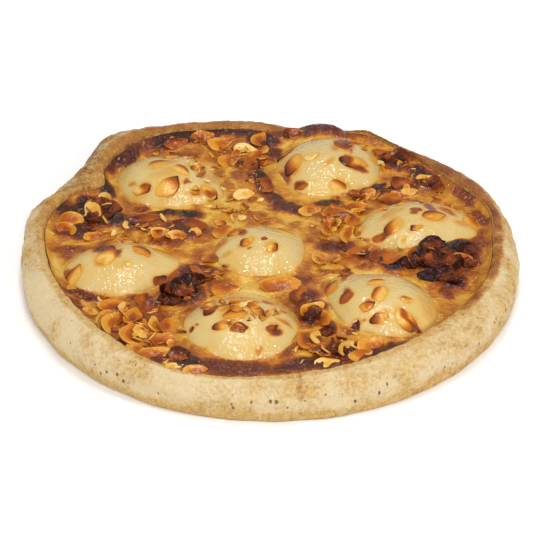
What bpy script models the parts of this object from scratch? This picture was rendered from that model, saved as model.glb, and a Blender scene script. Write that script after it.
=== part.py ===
"""A whole, uncut pear frangipane tart, 25 cm across, standing on its flat base.

Nine solids: the hand-raised shortcrust case, the baked frangipane inside it, and
seven poached pear halves bedded in the frangipane with their round sides up.
Flaked almonds are raised relief, fused to whatever they baked onto.

Every size below is in millimetres, angles are in degrees, and MM turns lengths
into metres. +Z is up, z = 0 is the underside, and angle 0 is +X, 90 is +Y.
"""

import math

import bmesh
import bpy
from mathutils import Matrix, Vector, noise

MM = 0.001
SEGMENTS = 84                # steps round the case and the frangipane
GAP = 0.3                    # clearance between neighbouring solids
NEAR = 0.01                  # tolerance when a height or radius is compared
SHARP_EDGE = 50.0            # edges sharper than this are not smoothed over

# Shortcrust case
BASE_RADIUS = 123.5          # where the wall meets the table
FOOT_RADIUS = 1.8            # rounding of the bottom edge
BELLY = 1.6                  # how far the wall bulges past its foot
SHOULDER_HEIGHT = 11.5       # where the outer wall starts to round over
RIM_HEIGHT = 21.8
RIM_INNER_RADIUS = 112.0     # inner edge of the rim
LIP_DROP = 1.2               # rounding of that inner edge
WALL_DRAFT = 3.5             # how far the wall's inner face leans in on its way down
FLOOR = 5.0                  # thickness of the case's base
SHOULDER_STEPS = 6
SHOULDER_TURN = 76.0         # how far round its quarter ellipse the shoulder goes
BASE_BORDER = 12.0           # width of the outermost ring of the underside
LIP_ROUND = 0.6
WALL_RELIEF = 0.8            # depth of the hand-pressed dents
DENT_SIZE = 13.0

# Swellings and dips of the hand-made rim: angle, half-width in degrees, amount in mm
OUTER_SWELLS = ((129, 11, 12.0), (112, 12, 6.0), (94, 20, 3.0), (165, 9, 6.0), (75, 5, 3.0), (56, 12, -7.0),
                (29, 10, 1.5), (-137, 12, 1.5))
INNER_SWELLS = ((-112, 17, 5.5), (-44, 26, -2.5), (-153, 14, -1.0), (18, 11, 4.5), (66, 14, 6.0),
                (118, 17, 9.0), (147, 5, -9.0), (168, 13, 4.0))
HEIGHT_SWELLS = ((-95, 26, -1.5), (-45, 26, 1.8), (-150, 28, 1.5), (130, 12, 4.0), (79, 11, -5.0),
                 (65, 5, 2.0))

# The end of the pastry strip laps over at the front: right of it the wall steps in
SEAM_ANGLE = -84.0
SEAM_STEP = 1.3
SEAM_FADE = 22.0

# Frangipane
FILL_RINGS = 9
FILL_EDGE = 15.8             # level where it meets the case
FILL_CROWN = 3.2             # how much higher it stands in the middle
FILL_RELIEF = 0.7
FILL_WRINKLE = 9.0
# Puffed ridges and caramel mounds: x, y, half-width, height
MOUNDS = ((80, -10, 13, 5.0), (96, 0, 8, 3.5), (-42, -40, 11, 4.0), (-86, 34, 11, 3.5), (72, 78, 12, 4.0),
          (21, -60, 8, 3.0), (-39, -96, 12, 3.0), (-10, 68, 9, 3.0), (-54, 18, 13, 3.0), (27, 112, 17, 8.5),
          (-14, 113, 16, 4.5), (-48, 102, 14, 4.0), (55, -14, 12, 3.0), (32, 26, 12, 2.0),
          (-67, -70, 13, 1.5))

# Pear halves: the cut face lies level in the frangipane
PEAR_SEAT = 11.0             # height of the cut face
PEAR_SEGMENTS = 24
PEAR_RINGS = 12
NECK_TAPER = 0.34            # how much narrower the neck end is

# Flaked almonds
FLAKE_SIDES = 7
FLAKE_THICKNESS = 1.5
FLAKE_RATIO = 0.66           # width over length
FLAKE_PROUD = 0.7            # how far a baked-in flake stands above the pear
LOOSE_LIFT = 0.1             # how far a loose flake's middle stands above the frangipane
BEDDED = 0.5                 # share of a leaning flake's rise that shows

# Linear colours
SHORTCRUST = (0.66, 0.47, 0.27)
BROWNED = (0.42, 0.17, 0.05)
PEAR = (0.73, 0.58, 0.28)
ALMOND = (0.5, 0.25, 0.08)


class Pear:
    """One pear half: its place, heading from bulb to neck, size and baked-in flakes."""

    def __init__(self, name, centre, heading, length, width, top, flakes):
        self.name = name
        self.centre = Vector(centre)
        self.heading = math.radians(heading)
        self.half_length = length / 2
        self.half_width = width / 2
        self.dome = top - PEAR_SEAT
        self.flakes = flakes

    def taper(self, along):
        """Width share at a place along the pear, -1 at the bulb's end and 1 at the neck's."""
        t = min(max((along + 0.15) / 1.15, 0.0), 1.0)
        return 1.0 - NECK_TAPER * t * t * (3.0 - 2.0 * t)

    def height(self, x, y):
        """Height of the round side above the table over the point x, y."""
        offset = Vector((x, y)) - self.centre
        along = (offset.x * math.cos(self.heading) + offset.y * math.sin(self.heading)) / self.half_length
        across = (offset.y * math.cos(self.heading) - offset.x * math.sin(self.heading)) / self.half_width
        share = self.taper(along)
        inside = max(1.0 - along * along - (across / share) ** 2, 0.0)
        return PEAR_SEAT + self.dome * share * math.sqrt(inside)


# name, centre, heading, length, width, top; flakes as x, y, length, heading
PEARS = (
    Pear("pear_front", (-14, -66), 84, 68, 62, 28.5,
         ((-29, -67, 9, 40), (-17, -73, 12, 10), (-6, -70, 10, -50), (-15, -82, 9, -10), (-24, -80, 8, 0))),
    Pear("pear_centre", (-3, -2), 48, 61, 54, 28.0,
         ((-12, -7, 8, 40), (1, -12, 8, 60), (7, 7, 10, -20))),
    Pear("pear_front_right", (51, -47), 139, 73, 55, 28.0,
         ((53, -69, 9, 10), (64, -70, 12, -45), (66, -57, 6, 0), (53, -55, 11, 80), (38, -53, 9, 80),
          (31, -39, 10, 50))),
    Pear("pear_right", (70, 17), 194, 77, 56, 27.5,
         ((74, 24, 9, -10), (85, 19, 11, 0), (62, 8, 10, 55), (73, 10, 7, 20), (95, 15, 10, -10))),
    Pear("pear_back_right", (29, 74), 250, 70, 60, 29.0,
         ((12, 90, 11, 60), (11, 68, 13, 80), (38, 87, 14, 10), (42, 70, 13, -30), (24, 96, 8, 0),
          (22, 54, 8, 20))),
    Pear("pear_back_left", (-49, 60), -35, 70, 54, 28.5,
         ((-52, 47, 14, 60), (-66, 49, 9, -20), (-57, 69, 12, 15), (-46, 62, 10, -40), (-33, 50, 10, -60))),
    Pear("pear_left", (-70, -18), 5, 71, 51, 27.0,
         ((-81, -21, 14, 40), (-86, -8, 9, -30), (-53, -12, 11, -20), (-64, -15, 9, -40))),
)

# Flakes on the frangipane: x, y, length, heading, tilt
FILL_FLAKES = (
    # the pile at the left front
    (-68, -77, 15, 70, 35), (-54, -91, 15, 10, 15), (-67, -62, 12, 60, 12), (-60, -54, 10, 30, 20),
    (-78, -66, 13, 60, 65), (-57, -68, 11, 100, 25), (-76, -50, 13, 0, 10), (-87, -55, 8, -30, 20),
    (-46, -103, 8, 10, 15), (-36, -106, 10, 15, 20), (-64, -89, 9, -35, 20),
    # beside the front pears
    (20, -60, 13, 40, 25), (22, -79, 10, 80, 30), (36, -88, 11, 50, 55), (43, -92, 11, 20, 15),
    (27, -98, 11, 15, 10), (17, -84, 10, 100, 10),
    # between the pears in the middle
    (8, -36, 13, 10, 30), (-22, -39, 14, 15, 10), (-38, -21, 14, 140, 10), (24, -12, 10, 120, 10),
    (33, 27, 14, 0, 10), (43, -6, 11, 30, 15), (-24, 12, 12, 45, 15),
    # the ridge at the left
    (-64, 22, 14, 5, 10), (-41, 19, 15, -10, 12), (-74, 20, 8, 90, 15), (-55, 10, 9, 20, 20),
    (-85, 41, 9, -60, 35), (-90, 30, 10, -50, 40), (-101, 25, 11, 80, 45), (-96, -38, 11, 110, 10),
    # along the back
    (-13, 90, 13, -15, 15), (-6, 104, 12, 70, 20), (-27, 100, 12, 30, 15), (-10, 76, 11, -70, 20),
    (-3, 57, 12, -60, 15), (-50, 97, 11, 20, 20), (58, 92, 10, -30, 15),
    # caramelised clusters at the right
    (72, 82, 12, -40, 35), (74, 62, 10, 30, 20), (86, 56, 11, -60, 30), (76, -6, 12, 20, 40),
    (87, -16, 13, -50, 45), (97, -3, 12, 70, 40), (82, -24, 12, 10, 30), (58, -14, 13, -10, 10),
    # caramelised cluster at the left of the middle
    (-43, -42, 12, 20, 45), (-47, -35, 10, 80, 35),
)


def swell(angle, table):
    """Sum of the rounded bumps in a table at an angle in degrees."""
    total = 0.0
    for centre, half_width, amount in table:
        away = (angle - centre + 180.0) % 360.0 - 180.0
        total += amount * math.exp(-((away / half_width) ** 2))
    return total


def rim_inner(angle):
    """Radius of the rim's inner edge."""
    return RIM_INNER_RADIUS + swell(angle, INNER_SWELLS)


def rim_height(angle):
    """Height of the rim's crest."""
    return RIM_HEIGHT + swell(angle, HEIGHT_SWELLS)


def inner_face_radius(angle, z):
    """Radius of the wall's inner face, which leans in from the lip down to the floor."""
    lip = rim_height(angle) - LIP_DROP
    return rim_inner(angle) - WALL_DRAFT * (lip - z) / (lip - FLOOR)


def outer_offset(angle, z):
    """How far the outside stands away from the plain round wall at a height."""
    lean = min(max(z / RIM_HEIGHT, 0.0), 1.0) ** 1.5
    past_seam = (angle - SEAM_ANGLE) % 360.0
    step = SEAM_STEP * math.exp(-past_seam / SEAM_FADE)
    return lean * swell(angle, OUTER_SWELLS) - step


def fill_height(x, y):
    """Level of the bare frangipane over the point x, y."""
    radius = math.hypot(x, y)
    angle = math.degrees(math.atan2(y, x))
    share = min(radius / rim_inner(angle), 1.0)
    z = FILL_EDGE + FILL_CROWN * (1.0 - share * share)
    for mound_x, mound_y, half_width, height in MOUNDS:
        z += height * math.exp(-((x - mound_x) ** 2 + (y - mound_y) ** 2) / half_width ** 2)
    return z + FILL_RELIEF * noise.noise(Vector((x, y, 0.0)) / FILL_WRINKLE)


def new_object(name, bm, colour, roughness):
    """Makes a named object from a bmesh in millimetres, smooth shaded, with its material."""
    bmesh.ops.scale(bm, vec=(MM, MM, MM), verts=bm.verts)
    mesh = bpy.data.meshes.new(name)
    bm.to_mesh(mesh)
    bm.free()
    mesh.shade_smooth()
    mesh.set_sharp_from_angle(angle=math.radians(SHARP_EDGE))
    mesh.materials.append(baked_material(name, colour, roughness))
    obj = bpy.data.objects.new(name, mesh)
    bpy.context.scene.collection.objects.link(obj)
    return obj


def baked_material(name, colour, roughness):
    """A Principled material of one linear colour."""
    material = bpy.data.materials.new(name)
    material.use_nodes = True
    shader = material.node_tree.nodes["Principled BSDF"]
    shader.inputs["Base Color"].default_value = (*colour, 1.0)
    shader.inputs["Roughness"].default_value = roughness
    shader.inputs["Metallic"].default_value = 0.0
    return material


def spun(profile):
    """Spins a radius and height profile, which starts and ends on the axis, into a closed mesh."""
    bm = bmesh.new()
    verts = [bm.verts.new((radius, 0.0, z)) for radius, z in profile]
    edges = [bm.edges.new(pair) for pair in zip(verts, verts[1:])]
    bmesh.ops.spin(bm, geom=verts + edges, cent=(0, 0, 0), axis=(0, 0, 1), dvec=(0, 0, 0),
                   angle=math.tau, steps=SEGMENTS, use_merge=True)
    bmesh.ops.remove_doubles(bm, verts=bm.verts, dist=0.01)
    bmesh.ops.recalc_face_normals(bm, faces=bm.faces)
    return bm


def crust_profile():
    """The plain round case: foot, belly, rounded shoulder, lip, inner face and floor."""
    profile = [(0.0, 0.0), (BASE_RADIUS - BASE_BORDER, 0.0), (BASE_RADIUS - FOOT_RADIUS, 0.0),
               (BASE_RADIUS, FOOT_RADIUS), (BASE_RADIUS + 0.7 * BELLY, 0.5 * SHOULDER_HEIGHT),
               (BASE_RADIUS + BELLY, SHOULDER_HEIGHT)]
    reach = BASE_RADIUS + BELLY - RIM_INNER_RADIUS
    for step in range(1, SHOULDER_STEPS + 1):
        turn = math.radians(SHOULDER_TURN * step / SHOULDER_STEPS)
        rise = math.sin(turn) / math.sin(math.radians(SHOULDER_TURN))
        profile.append((RIM_INNER_RADIUS + reach * math.cos(turn),
                        SHOULDER_HEIGHT + (RIM_HEIGHT - SHOULDER_HEIGHT) * rise))
    profile += [(RIM_INNER_RADIUS + LIP_ROUND, RIM_HEIGHT - 0.5 * LIP_ROUND),
                (RIM_INNER_RADIUS, RIM_HEIGHT - LIP_DROP),
                (RIM_INNER_RADIUS - WALL_DRAFT, FLOOR), (0.0, FLOOR)]
    return profile


def place(vert, radius, turn, z):
    """Puts a vertex at a radius, an angle in radians and a height."""
    vert.co = (radius * math.cos(turn), radius * math.sin(turn), z)


def make_crust():
    """The shortcrust case with its uneven rim, lap seam and hand-pressed dents."""
    bm = spun(crust_profile())
    for vert in bm.verts:
        x, y, z = vert.co
        radius = math.hypot(x, y)
        if radius < NEAR:
            continue
        turn = math.atan2(y, x)
        angle = math.degrees(turn)
        on_floor = abs(z - FLOOR) < NEAR
        if z > FLOOR + NEAR:
            z *= rim_height(angle) / RIM_HEIGHT
        if on_floor:
            radius *= inner_face_radius(angle, z) / (RIM_INNER_RADIUS - WALL_DRAFT)
        elif z > FLOOR and radius < RIM_INNER_RADIUS + NEAR:
            radius = inner_face_radius(angle, z)
        else:
            outward = max((radius - RIM_INNER_RADIUS) / (BASE_RADIUS - RIM_INNER_RADIUS), 0.0)
            radius += outer_offset(angle, z) * outward
            if z > SHOULDER_HEIGHT:
                radius += swell(angle, INNER_SWELLS) * max(1.0 - outward, 0.0)
            if z > NEAR:
                dent = WALL_RELIEF * noise.noise(Vector((x, y, z)) / DENT_SIZE)
                radius += dent * min(2.0 * outward, 1.0)
        place(vert, radius, turn, z)
    bmesh.ops.triangulate(bm, faces=bm.faces)
    return new_object("crust", bm, SHORTCRUST, 0.75)


def fill_profile():
    """The plain frangipane disc: base, side, then rings of the top in to the axis."""
    profile = [(0.0, FLOOR + GAP), (RIM_INNER_RADIUS, FLOOR + GAP)]
    for ring in range(FILL_RINGS):
        profile.append((RIM_INNER_RADIUS * (1.0 - ring / FILL_RINGS), FILL_EDGE))
    profile.append((0.0, FILL_EDGE))
    return profile


def make_fill_body():
    """The frangipane fitted inside the case, with its uneven top, before the pears are set in."""
    bm = spun(fill_profile())
    for vert in bm.verts:
        x, y, z = vert.co
        radius = math.hypot(x, y)
        turn = math.atan2(y, x)
        angle = math.degrees(turn)
        if z > FLOOR + GAP + NEAR:
            spread = rim_inner(angle) / RIM_INNER_RADIUS
            z = fill_height(x * spread, y * spread)
        radius *= (inner_face_radius(angle, z) - GAP) / RIM_INNER_RADIUS
        place(vert, radius, turn, z)
    bmesh.ops.triangulate(bm, faces=bm.faces)
    return new_object("frangipane", bm, BROWNED, 0.35)


def pear_body(pear, grow=0.0):
    """The smooth pear half, or, grown by a clearance, the socket that it leaves."""
    bm = bmesh.new()
    bmesh.ops.create_uvsphere(bm, u_segments=PEAR_SEGMENTS, v_segments=PEAR_RINGS, radius=1.0)
    bmesh.ops.rotate(bm, verts=bm.verts, cent=(0, 0, 0), matrix=Matrix.Rotation(math.pi / 2, 3, "Y"))
    cut = bmesh.ops.bisect_plane(bm, geom=bm.verts[:] + bm.edges[:] + bm.faces[:], dist=0.0001,
                                 plane_co=(0, 0, 0), plane_no=(0, 0, 1), clear_inner=True)
    rim = [item for item in cut["geom_cut"] if isinstance(item, bmesh.types.BMEdge)]
    bmesh.ops.edgeloop_fill(bm, edges=rim)
    for vert in bm.verts:
        u, v, w = vert.co
        share = pear.taper(u)
        vert.co = (u * (pear.half_length + grow), v * (pear.half_width * share + grow),
                   w * (pear.dome * share + grow) - (grow if w < 0.001 else 0.0))
    bmesh.ops.rotate(bm, verts=bm.verts, cent=(0, 0, 0), matrix=Matrix.Rotation(pear.heading, 3, "Z"))
    bmesh.ops.translate(bm, verts=bm.verts, vec=(*pear.centre, PEAR_SEAT))
    bmesh.ops.triangulate(bm, faces=bm.faces)
    bmesh.ops.recalc_face_normals(bm, faces=bm.faces)
    return bm


def flake_body(length):
    """A flat almond flake about the origin, longest along X and a little pointed at one end."""
    bm = bmesh.new()
    bmesh.ops.create_circle(bm, cap_ends=True, segments=FLAKE_SIDES, radius=0.5)
    bmesh.ops.scale(bm, verts=bm.verts, vec=(length, length * FLAKE_RATIO, 1.0))
    raised = bmesh.ops.extrude_face_region(bm, geom=bm.faces[:])
    top = [item for item in raised["geom"] if isinstance(item, bmesh.types.BMVert)]
    bmesh.ops.translate(bm, verts=top, vec=(0, 0, FLAKE_THICKNESS))
    bmesh.ops.translate(bm, verts=bm.verts, vec=(0, 0, -FLAKE_THICKNESS / 2))
    bmesh.ops.recalc_face_normals(bm, faces=bm.faces)
    return bm


def draped_flake(name, spot, surface):
    """A flake baked flat into a curved surface, following it."""
    x, y, length, heading = spot
    bm = flake_body(length)
    turn = Matrix.Rotation(math.radians(heading), 3, "Z")
    bmesh.ops.rotate(bm, verts=bm.verts, cent=(0, 0, 0), matrix=turn)
    bmesh.ops.translate(bm, verts=bm.verts, vec=(x, y, 0))
    for vert in bm.verts:
        rise = FLAKE_PROUD if vert.co.z > 0 else FLAKE_PROUD - FLAKE_THICKNESS
        vert.co.z = surface(vert.co.x, vert.co.y) + rise
    bmesh.ops.triangulate(bm, faces=bm.faces)
    return new_object(name, bm, ALMOND, 0.5)


def loose_flake(name, spot):
    """A flat flake lying or leaning on the frangipane, its lower edge bedded in."""
    x, y, length, heading, tilt = spot
    bm = flake_body(length)
    lean = math.radians(tilt)
    turn = Matrix.Rotation(math.radians(heading), 3, "Z") @ Matrix.Rotation(lean, 3, "X")
    bmesh.ops.rotate(bm, verts=bm.verts, cent=(0, 0, 0), matrix=turn)
    rise = 0.5 * length * FLAKE_RATIO * math.sin(lean)
    z = fill_height(x, y) + LOOSE_LIFT + BEDDED * rise
    bmesh.ops.translate(bm, verts=bm.verts, vec=(x, y, z))
    bmesh.ops.triangulate(bm, faces=bm.faces)
    return new_object(name, bm, ALMOND, 0.5)


def combine(target, tools, operation):
    """Joins a list of solids to the target, or cuts them from it, and removes them."""
    group = bpy.data.collections.new("tools")
    bpy.context.scene.collection.children.link(group)
    for tool in tools:
        group.objects.link(tool)
    boolean = target.modifiers.new("combine", "BOOLEAN")
    boolean.operation = operation
    boolean.operand_type = "COLLECTION"
    boolean.collection = group
    boolean.solver = "EXACT"
    graph = bpy.context.evaluated_depsgraph_get()
    result = bpy.data.meshes.new_from_object(target.evaluated_get(graph))
    target.modifiers.clear()
    target.data = result
    for tool in tools:
        bpy.data.objects.remove(tool)
    bpy.data.collections.remove(group)


def keep_largest(obj):
    """Drops loose scraps, so that one body is left."""
    bm = bmesh.new()
    bm.from_mesh(obj.data)
    unseen = set(bm.verts)
    bodies = []
    while unseen:
        front = [unseen.pop()]
        body = []
        while front:
            vert = front.pop()
            body.append(vert)
            linked = {edge.other_vert(vert) for edge in vert.link_edges} & unseen
            unseen -= linked
            front.extend(linked)
        bodies.append(body)
    bodies.sort(key=len)
    for scrap in bodies[:-1]:
        bmesh.ops.delete(bm, geom=scrap, context="VERTS")
    bmesh.ops.triangulate(bm, faces=bm.faces)
    bm.to_mesh(obj.data)
    bm.free()


def make_pear(pear):
    """One pear half with its baked-in flakes."""
    obj = new_object(pear.name, pear_body(pear), PEAR, 0.3)
    flakes = [draped_flake(f"flake_{n}", spot, pear.height) for n, spot in enumerate(pear.flakes)]
    combine(obj, flakes, "UNION")
    keep_largest(obj)
    return obj


def make_frangipane():
    """The frangipane with its flakes, and a socket for each pear half."""
    obj = make_fill_body()
    flakes = [loose_flake(f"flake_{n}", spot) for n, spot in enumerate(FILL_FLAKES)]
    combine(obj, flakes, "UNION")
    sockets = [new_object(f"socket_{pear.name}", pear_body(pear, GAP), PEAR, 0.3) for pear in PEARS]
    combine(obj, sockets, "DIFFERENCE")
    keep_largest(obj)
    return obj


for old in list(bpy.data.objects):
    bpy.data.objects.remove(old)

make_crust()
make_frangipane()
for half in PEARS:
    make_pear(half)
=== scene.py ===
"""Looks of a whole pear frangipane tart, 25 cm across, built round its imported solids.

Sizes are in millimetres and angles in degrees; MM turns lengths into metres. +Z is
up, z = 0 is the underside, angle 0 is +X and 90 is +Y, and the viewer is at -Y.
A pair called a fade holds the value where an effect starts and the one where it is full.
A pattern is a row of its amount, the size of its lumps in mm and its seed.
"""

from __future__ import annotations

import logging
import math
import random
from dataclasses import dataclass
from enum import Enum
from typing import Any, Sequence

import bmesh
import bpy
import numpy as np
from mathutils import Matrix, Vector, noise


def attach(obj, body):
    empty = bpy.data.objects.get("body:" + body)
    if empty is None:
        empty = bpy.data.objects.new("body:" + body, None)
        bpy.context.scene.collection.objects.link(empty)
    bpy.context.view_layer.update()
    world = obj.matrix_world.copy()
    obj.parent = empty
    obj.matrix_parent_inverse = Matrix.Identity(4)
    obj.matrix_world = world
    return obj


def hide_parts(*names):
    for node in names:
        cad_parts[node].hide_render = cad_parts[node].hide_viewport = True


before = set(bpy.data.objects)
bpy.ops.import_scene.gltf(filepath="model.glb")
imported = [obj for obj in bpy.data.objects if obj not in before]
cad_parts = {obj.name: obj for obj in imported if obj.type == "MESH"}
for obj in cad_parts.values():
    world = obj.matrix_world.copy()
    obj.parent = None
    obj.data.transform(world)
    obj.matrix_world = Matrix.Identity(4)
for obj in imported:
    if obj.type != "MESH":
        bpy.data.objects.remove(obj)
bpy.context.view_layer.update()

MM = 0.001
LOG = logging.getLogger("tart")
Row = tuple[float, ...]
Stops = tuple[tuple[float, str], ...]
Pair = tuple[np.ndarray, np.ndarray]

# Heights and radii in mm that differ by less count as the same
TOUCH = 0.01
# How far a pattern moves through the noise for each step of its seed
SEED_SHIFT: Row = (7.3, 3.1, 5.7)
# A stain's ragged edge: width of its wiggles and how far they reach, in mm
EDGE_WIGGLES: tuple[Row, ...] = ((9.0, 2.6), (3.6, 1.2))
# Share of a stain's half-size where its colour starts and where it is full
STAIN_FADE: Row = (1.5, 0.4)
# Stains on the smooth pears have edges less ragged than those on the crumb
PEAR_RAGGED = 0.7


# Shared helpers


def swell(angle: np.ndarray, table: Sequence[Row]) -> np.ndarray:
    """Sums the rounded bumps of a table.

    Args:
        angle: angles in degrees.
        table: rows of centre and half-width in degrees, and amount.

    Returns:
        The amount at each angle.
    """
    total = np.zeros_like(angle, dtype=float)
    for centre, half_width, amount in table:
        away = (angle - centre + 180.0) % 360.0 - 180.0
        total += amount * np.exp(-((away / half_width) ** 2))
    return total


def eased(value: np.ndarray, start: float, full: float) -> np.ndarray:
    """Gives a share that grows smoothly from 0 to 1 between two values.

    Args:
        value: what is measured.
        start: where the share is 0.
        full: where it is 1, above or below the start.

    Returns:
        The share at each value.
    """
    share = np.clip((value - start) / (full - start), 0.0, 1.0)
    return share * share * (3.0 - 2.0 * share)


def on_plan(x: np.ndarray, y: np.ndarray) -> np.ndarray:
    """Gives plan places as N x 3 points of height 0."""
    return np.column_stack((x, y, np.zeros_like(x)))


def turned(x: np.ndarray, y: np.ndarray, heading: float) -> Pair:
    """Gives plan offsets along a heading in degrees, and across it."""
    turn = math.radians(heading)
    return x * math.cos(turn) + y * math.sin(turn), y * math.cos(turn) - x * math.sin(turn)


def crumple(points: np.ndarray, size: float, seed: float) -> np.ndarray:
    """Gives smooth random values from -1 to 1.

    Args:
        points: N x 3 points in mm.
        size: width of the lumps in mm.
        seed: number of the pattern.

    Returns:
        One value for each point.
    """
    shift = Vector([seed * part for part in SEED_SHIFT])
    return np.array([noise.noise(Vector(p) / size + shift) for p in points])


def layered(points: np.ndarray, *patterns: Row) -> np.ndarray:
    """Sums patterns at N x 3 points in mm."""
    return sum(amount * crumple(points, size, seed) for amount, size, seed in patterns)


def creases(points: np.ndarray, sharpness: float, size: float, seed: float) -> np.ndarray:
    """Gives thin lines that wander over a surface, 1 on a line and 0 beside it."""
    return np.clip(1.0 - sharpness * np.abs(crumple(points, size, seed)), 0.0, 1.0)


def wander(x: np.ndarray, y: np.ndarray, size: float, reach: float) -> Pair:
    """Shifts plan places by smooth noise, so that stains get ragged edges.

    Args:
        x: places across in mm.
        y: places away from the viewer in mm.
        size: width of the wiggles in mm.
        reach: how far a place may shift in mm.

    Returns:
        The shifted x and y.
    """
    flat = on_plan(x, y)
    return x + reach * crumple(flat, size, 1.0), y + reach * crumple(flat, size, 2.0)


def stained(x: np.ndarray, y: np.ndarray, stains: Sequence[Row], ragged: float = 1.0) -> np.ndarray:
    """Gives the browning that a list of stains leaves at plan places.

    Args:
        x: places across in mm.
        y: places away from the viewer in mm.
        stains: rows of x, y, half-length, half-width, heading and depth of colour.
        ragged: how uneven their edges are.

    Returns:
        The depth of colour of the strongest stain, fading out round its edge.
    """
    near_x, near_y = x, y
    for size, reach in EDGE_WIGGLES:
        near_x, near_y = wander(near_x, near_y, size, reach * ragged)
    tone = np.zeros_like(x)
    for centre_x, centre_y, half_length, half_width, heading, depth in stains:
        along, across = turned(near_x - centre_x, near_y - centre_y, heading)
        away = np.hypot(along / half_length, across / half_width)
        tone = np.maximum(tone, depth * eased(away, *STAIN_FADE))
    return tone


def coordinates(mesh: bpy.types.Mesh) -> np.ndarray:
    """Reads where a mesh's vertices are.

    Args:
        mesh: the mesh.

    Returns:
        N x 3 numbers in mm.
    """
    flat = np.empty(len(mesh.vertices) * 3)
    mesh.vertices.foreach_get("co", flat)
    return flat.reshape(-1, 3) / MM


def put_coordinates(mesh: bpy.types.Mesh, points: np.ndarray) -> None:
    """Writes N x 3 numbers in mm back to a mesh's vertices."""
    mesh.vertices.foreach_set("co", (points * MM).ravel())
    mesh.update()


def raise_surface(mesh: bpy.types.Mesh, points: np.ndarray, height: np.ndarray) -> None:
    """Moves a mesh's points along their normals.

    Args:
        mesh: the mesh, changed in place.
        points: its points, N x 3 numbers in mm.
        height: how far each moves in mm.
    """
    flat = np.empty(len(mesh.vertices) * 3)
    mesh.vertices.foreach_get("normal", flat)
    put_coordinates(mesh, points + flat.reshape(-1, 3) * height[:, None])


def put_attribute(mesh: bpy.types.Mesh, name: str, values: np.ndarray) -> None:
    """Stores one number for each vertex under a name that a material can read."""
    layer = mesh.attributes.new(name, "FLOAT", "POINT")
    layer.data.foreach_set("value", np.clip(values, 0.0, 1.0).astype(np.float32))


def to_mesh(name: str, bm: bmesh.types.BMesh, scale: float = MM) -> bpy.types.Mesh:
    """Turns a bmesh into a mesh and frees it.

    Args:
        name: the mesh's name.
        bm: the bmesh, in mm.
        scale: what one of its units becomes in metres.

    Returns:
        The mesh.
    """
    bmesh.ops.scale(bm, vec=(scale, scale, scale), verts=bm.verts)
    mesh = bpy.data.meshes.new(name)
    bm.to_mesh(mesh)
    bm.free()
    return mesh


def finished(name: str, mesh: bpy.types.Mesh, material: bpy.types.Material,
             nodes: Sequence[str] = ()) -> bpy.types.Object:
    """Makes a piece of the tart from its mesh.

    Args:
        name: the piece's name.
        mesh: its final mesh, in place.
        material: its finish.
        nodes: the solids that the piece stands for.

    Returns:
        The object, riding on the tart's one body.
    """
    mesh.shade_smooth()
    mesh.materials.append(material)
    piece = bpy.data.objects.new(name, mesh)
    bpy.context.scene.collection.objects.link(piece)
    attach(piece, "root")
    if nodes:
        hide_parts(*nodes)
    LOG.info("%s: %d vertices, %d faces", name, len(mesh.vertices), len(mesh.polygons))
    return piece


# Colours and finishes


def linear(code: str) -> tuple[float, float, float, float]:
    """Turns an sRGB colour into a linear one.

    Args:
        code: six hex digits.

    Returns:
        Linear red, green, blue and an alpha of 1.
    """
    parts = [int(code[i:i + 2], 16) / 255.0 for i in (0, 2, 4)]
    red, green, blue = (p / 12.92 if p <= 0.04045 else ((p + 0.055) / 1.055) ** 2.4 for p in parts)
    return red, green, blue, 1.0


def add_node(tree: bpy.types.NodeTree, kind: str, inputs: dict[Any, Any] | None = None,
             stops: Stops = (), **settings: Any) -> bpy.types.Node:
    """Adds one shader node with its settings, values and links.

    Args:
        tree: the material's node tree.
        kind: the node's type name after ShaderNode.
        inputs: socket name or index to a value, or to the output that feeds it.
        stops: places and hex colours of a colour ramp, in order.
        settings: properties of the node itself.

    Returns:
        The new node.
    """
    node = tree.nodes.new("ShaderNode" + kind)
    for name, value in settings.items():
        setattr(node, name, value)
    for socket, value in (inputs or {}).items():
        if isinstance(value, bpy.types.NodeSocket):
            tree.links.new(value, node.inputs[socket])
        else:
            node.inputs[socket].default_value = value
    if stops:
        ramp = node.color_ramp.elements
        for place, _ in stops[1:-1]:
            ramp.new(place)
        for element, (place, code) in zip(ramp, stops):
            element.position = place
            element.color = linear(code)
    return node


def per_mm(size: float) -> float:
    """Gives the texture scale on Object coordinates for a pattern of a size in mm."""
    return 1.0 / (size * MM)


@dataclass(frozen=True)
class Finish:
    """What every baked or glazed surface has: a Principled shader and Object coordinates."""

    name: str
    roughness: float
    specular: float = 0.5
    coat: float = 0.0
    coat_roughness: float = 0.1
    subsurface: float = 0.0
    subsurface_depth: float = 2.0
    subsurface_tint: Row = (1.0, 0.55, 0.22)
    ior: float = 1.45

    def start(self) -> tuple[bpy.types.Material, bpy.types.NodeTree, bpy.types.Node, bpy.types.NodeSocket]:
        """Makes the material and its shader.

        Returns:
            The material, its tree, the shader and the Object coordinates' socket.
        """
        material = bpy.data.materials.new(self.name)
        material.use_nodes = True
        tree = material.node_tree
        shader = tree.nodes["Principled BSDF"]
        for socket, value in (("Roughness", self.roughness), ("IOR", self.ior),
                              ("Specular IOR Level", self.specular), ("Coat Weight", self.coat),
                              ("Coat Roughness", self.coat_roughness), ("Subsurface Weight", self.subsurface),
                              ("Subsurface Radius", self.subsurface_tint),
                              ("Subsurface Scale", self.subsurface_depth * MM)):
            shader.inputs[socket].default_value = value
        return material, tree, shader, add_node(tree, "TexCoord").outputs["Object"]


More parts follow.
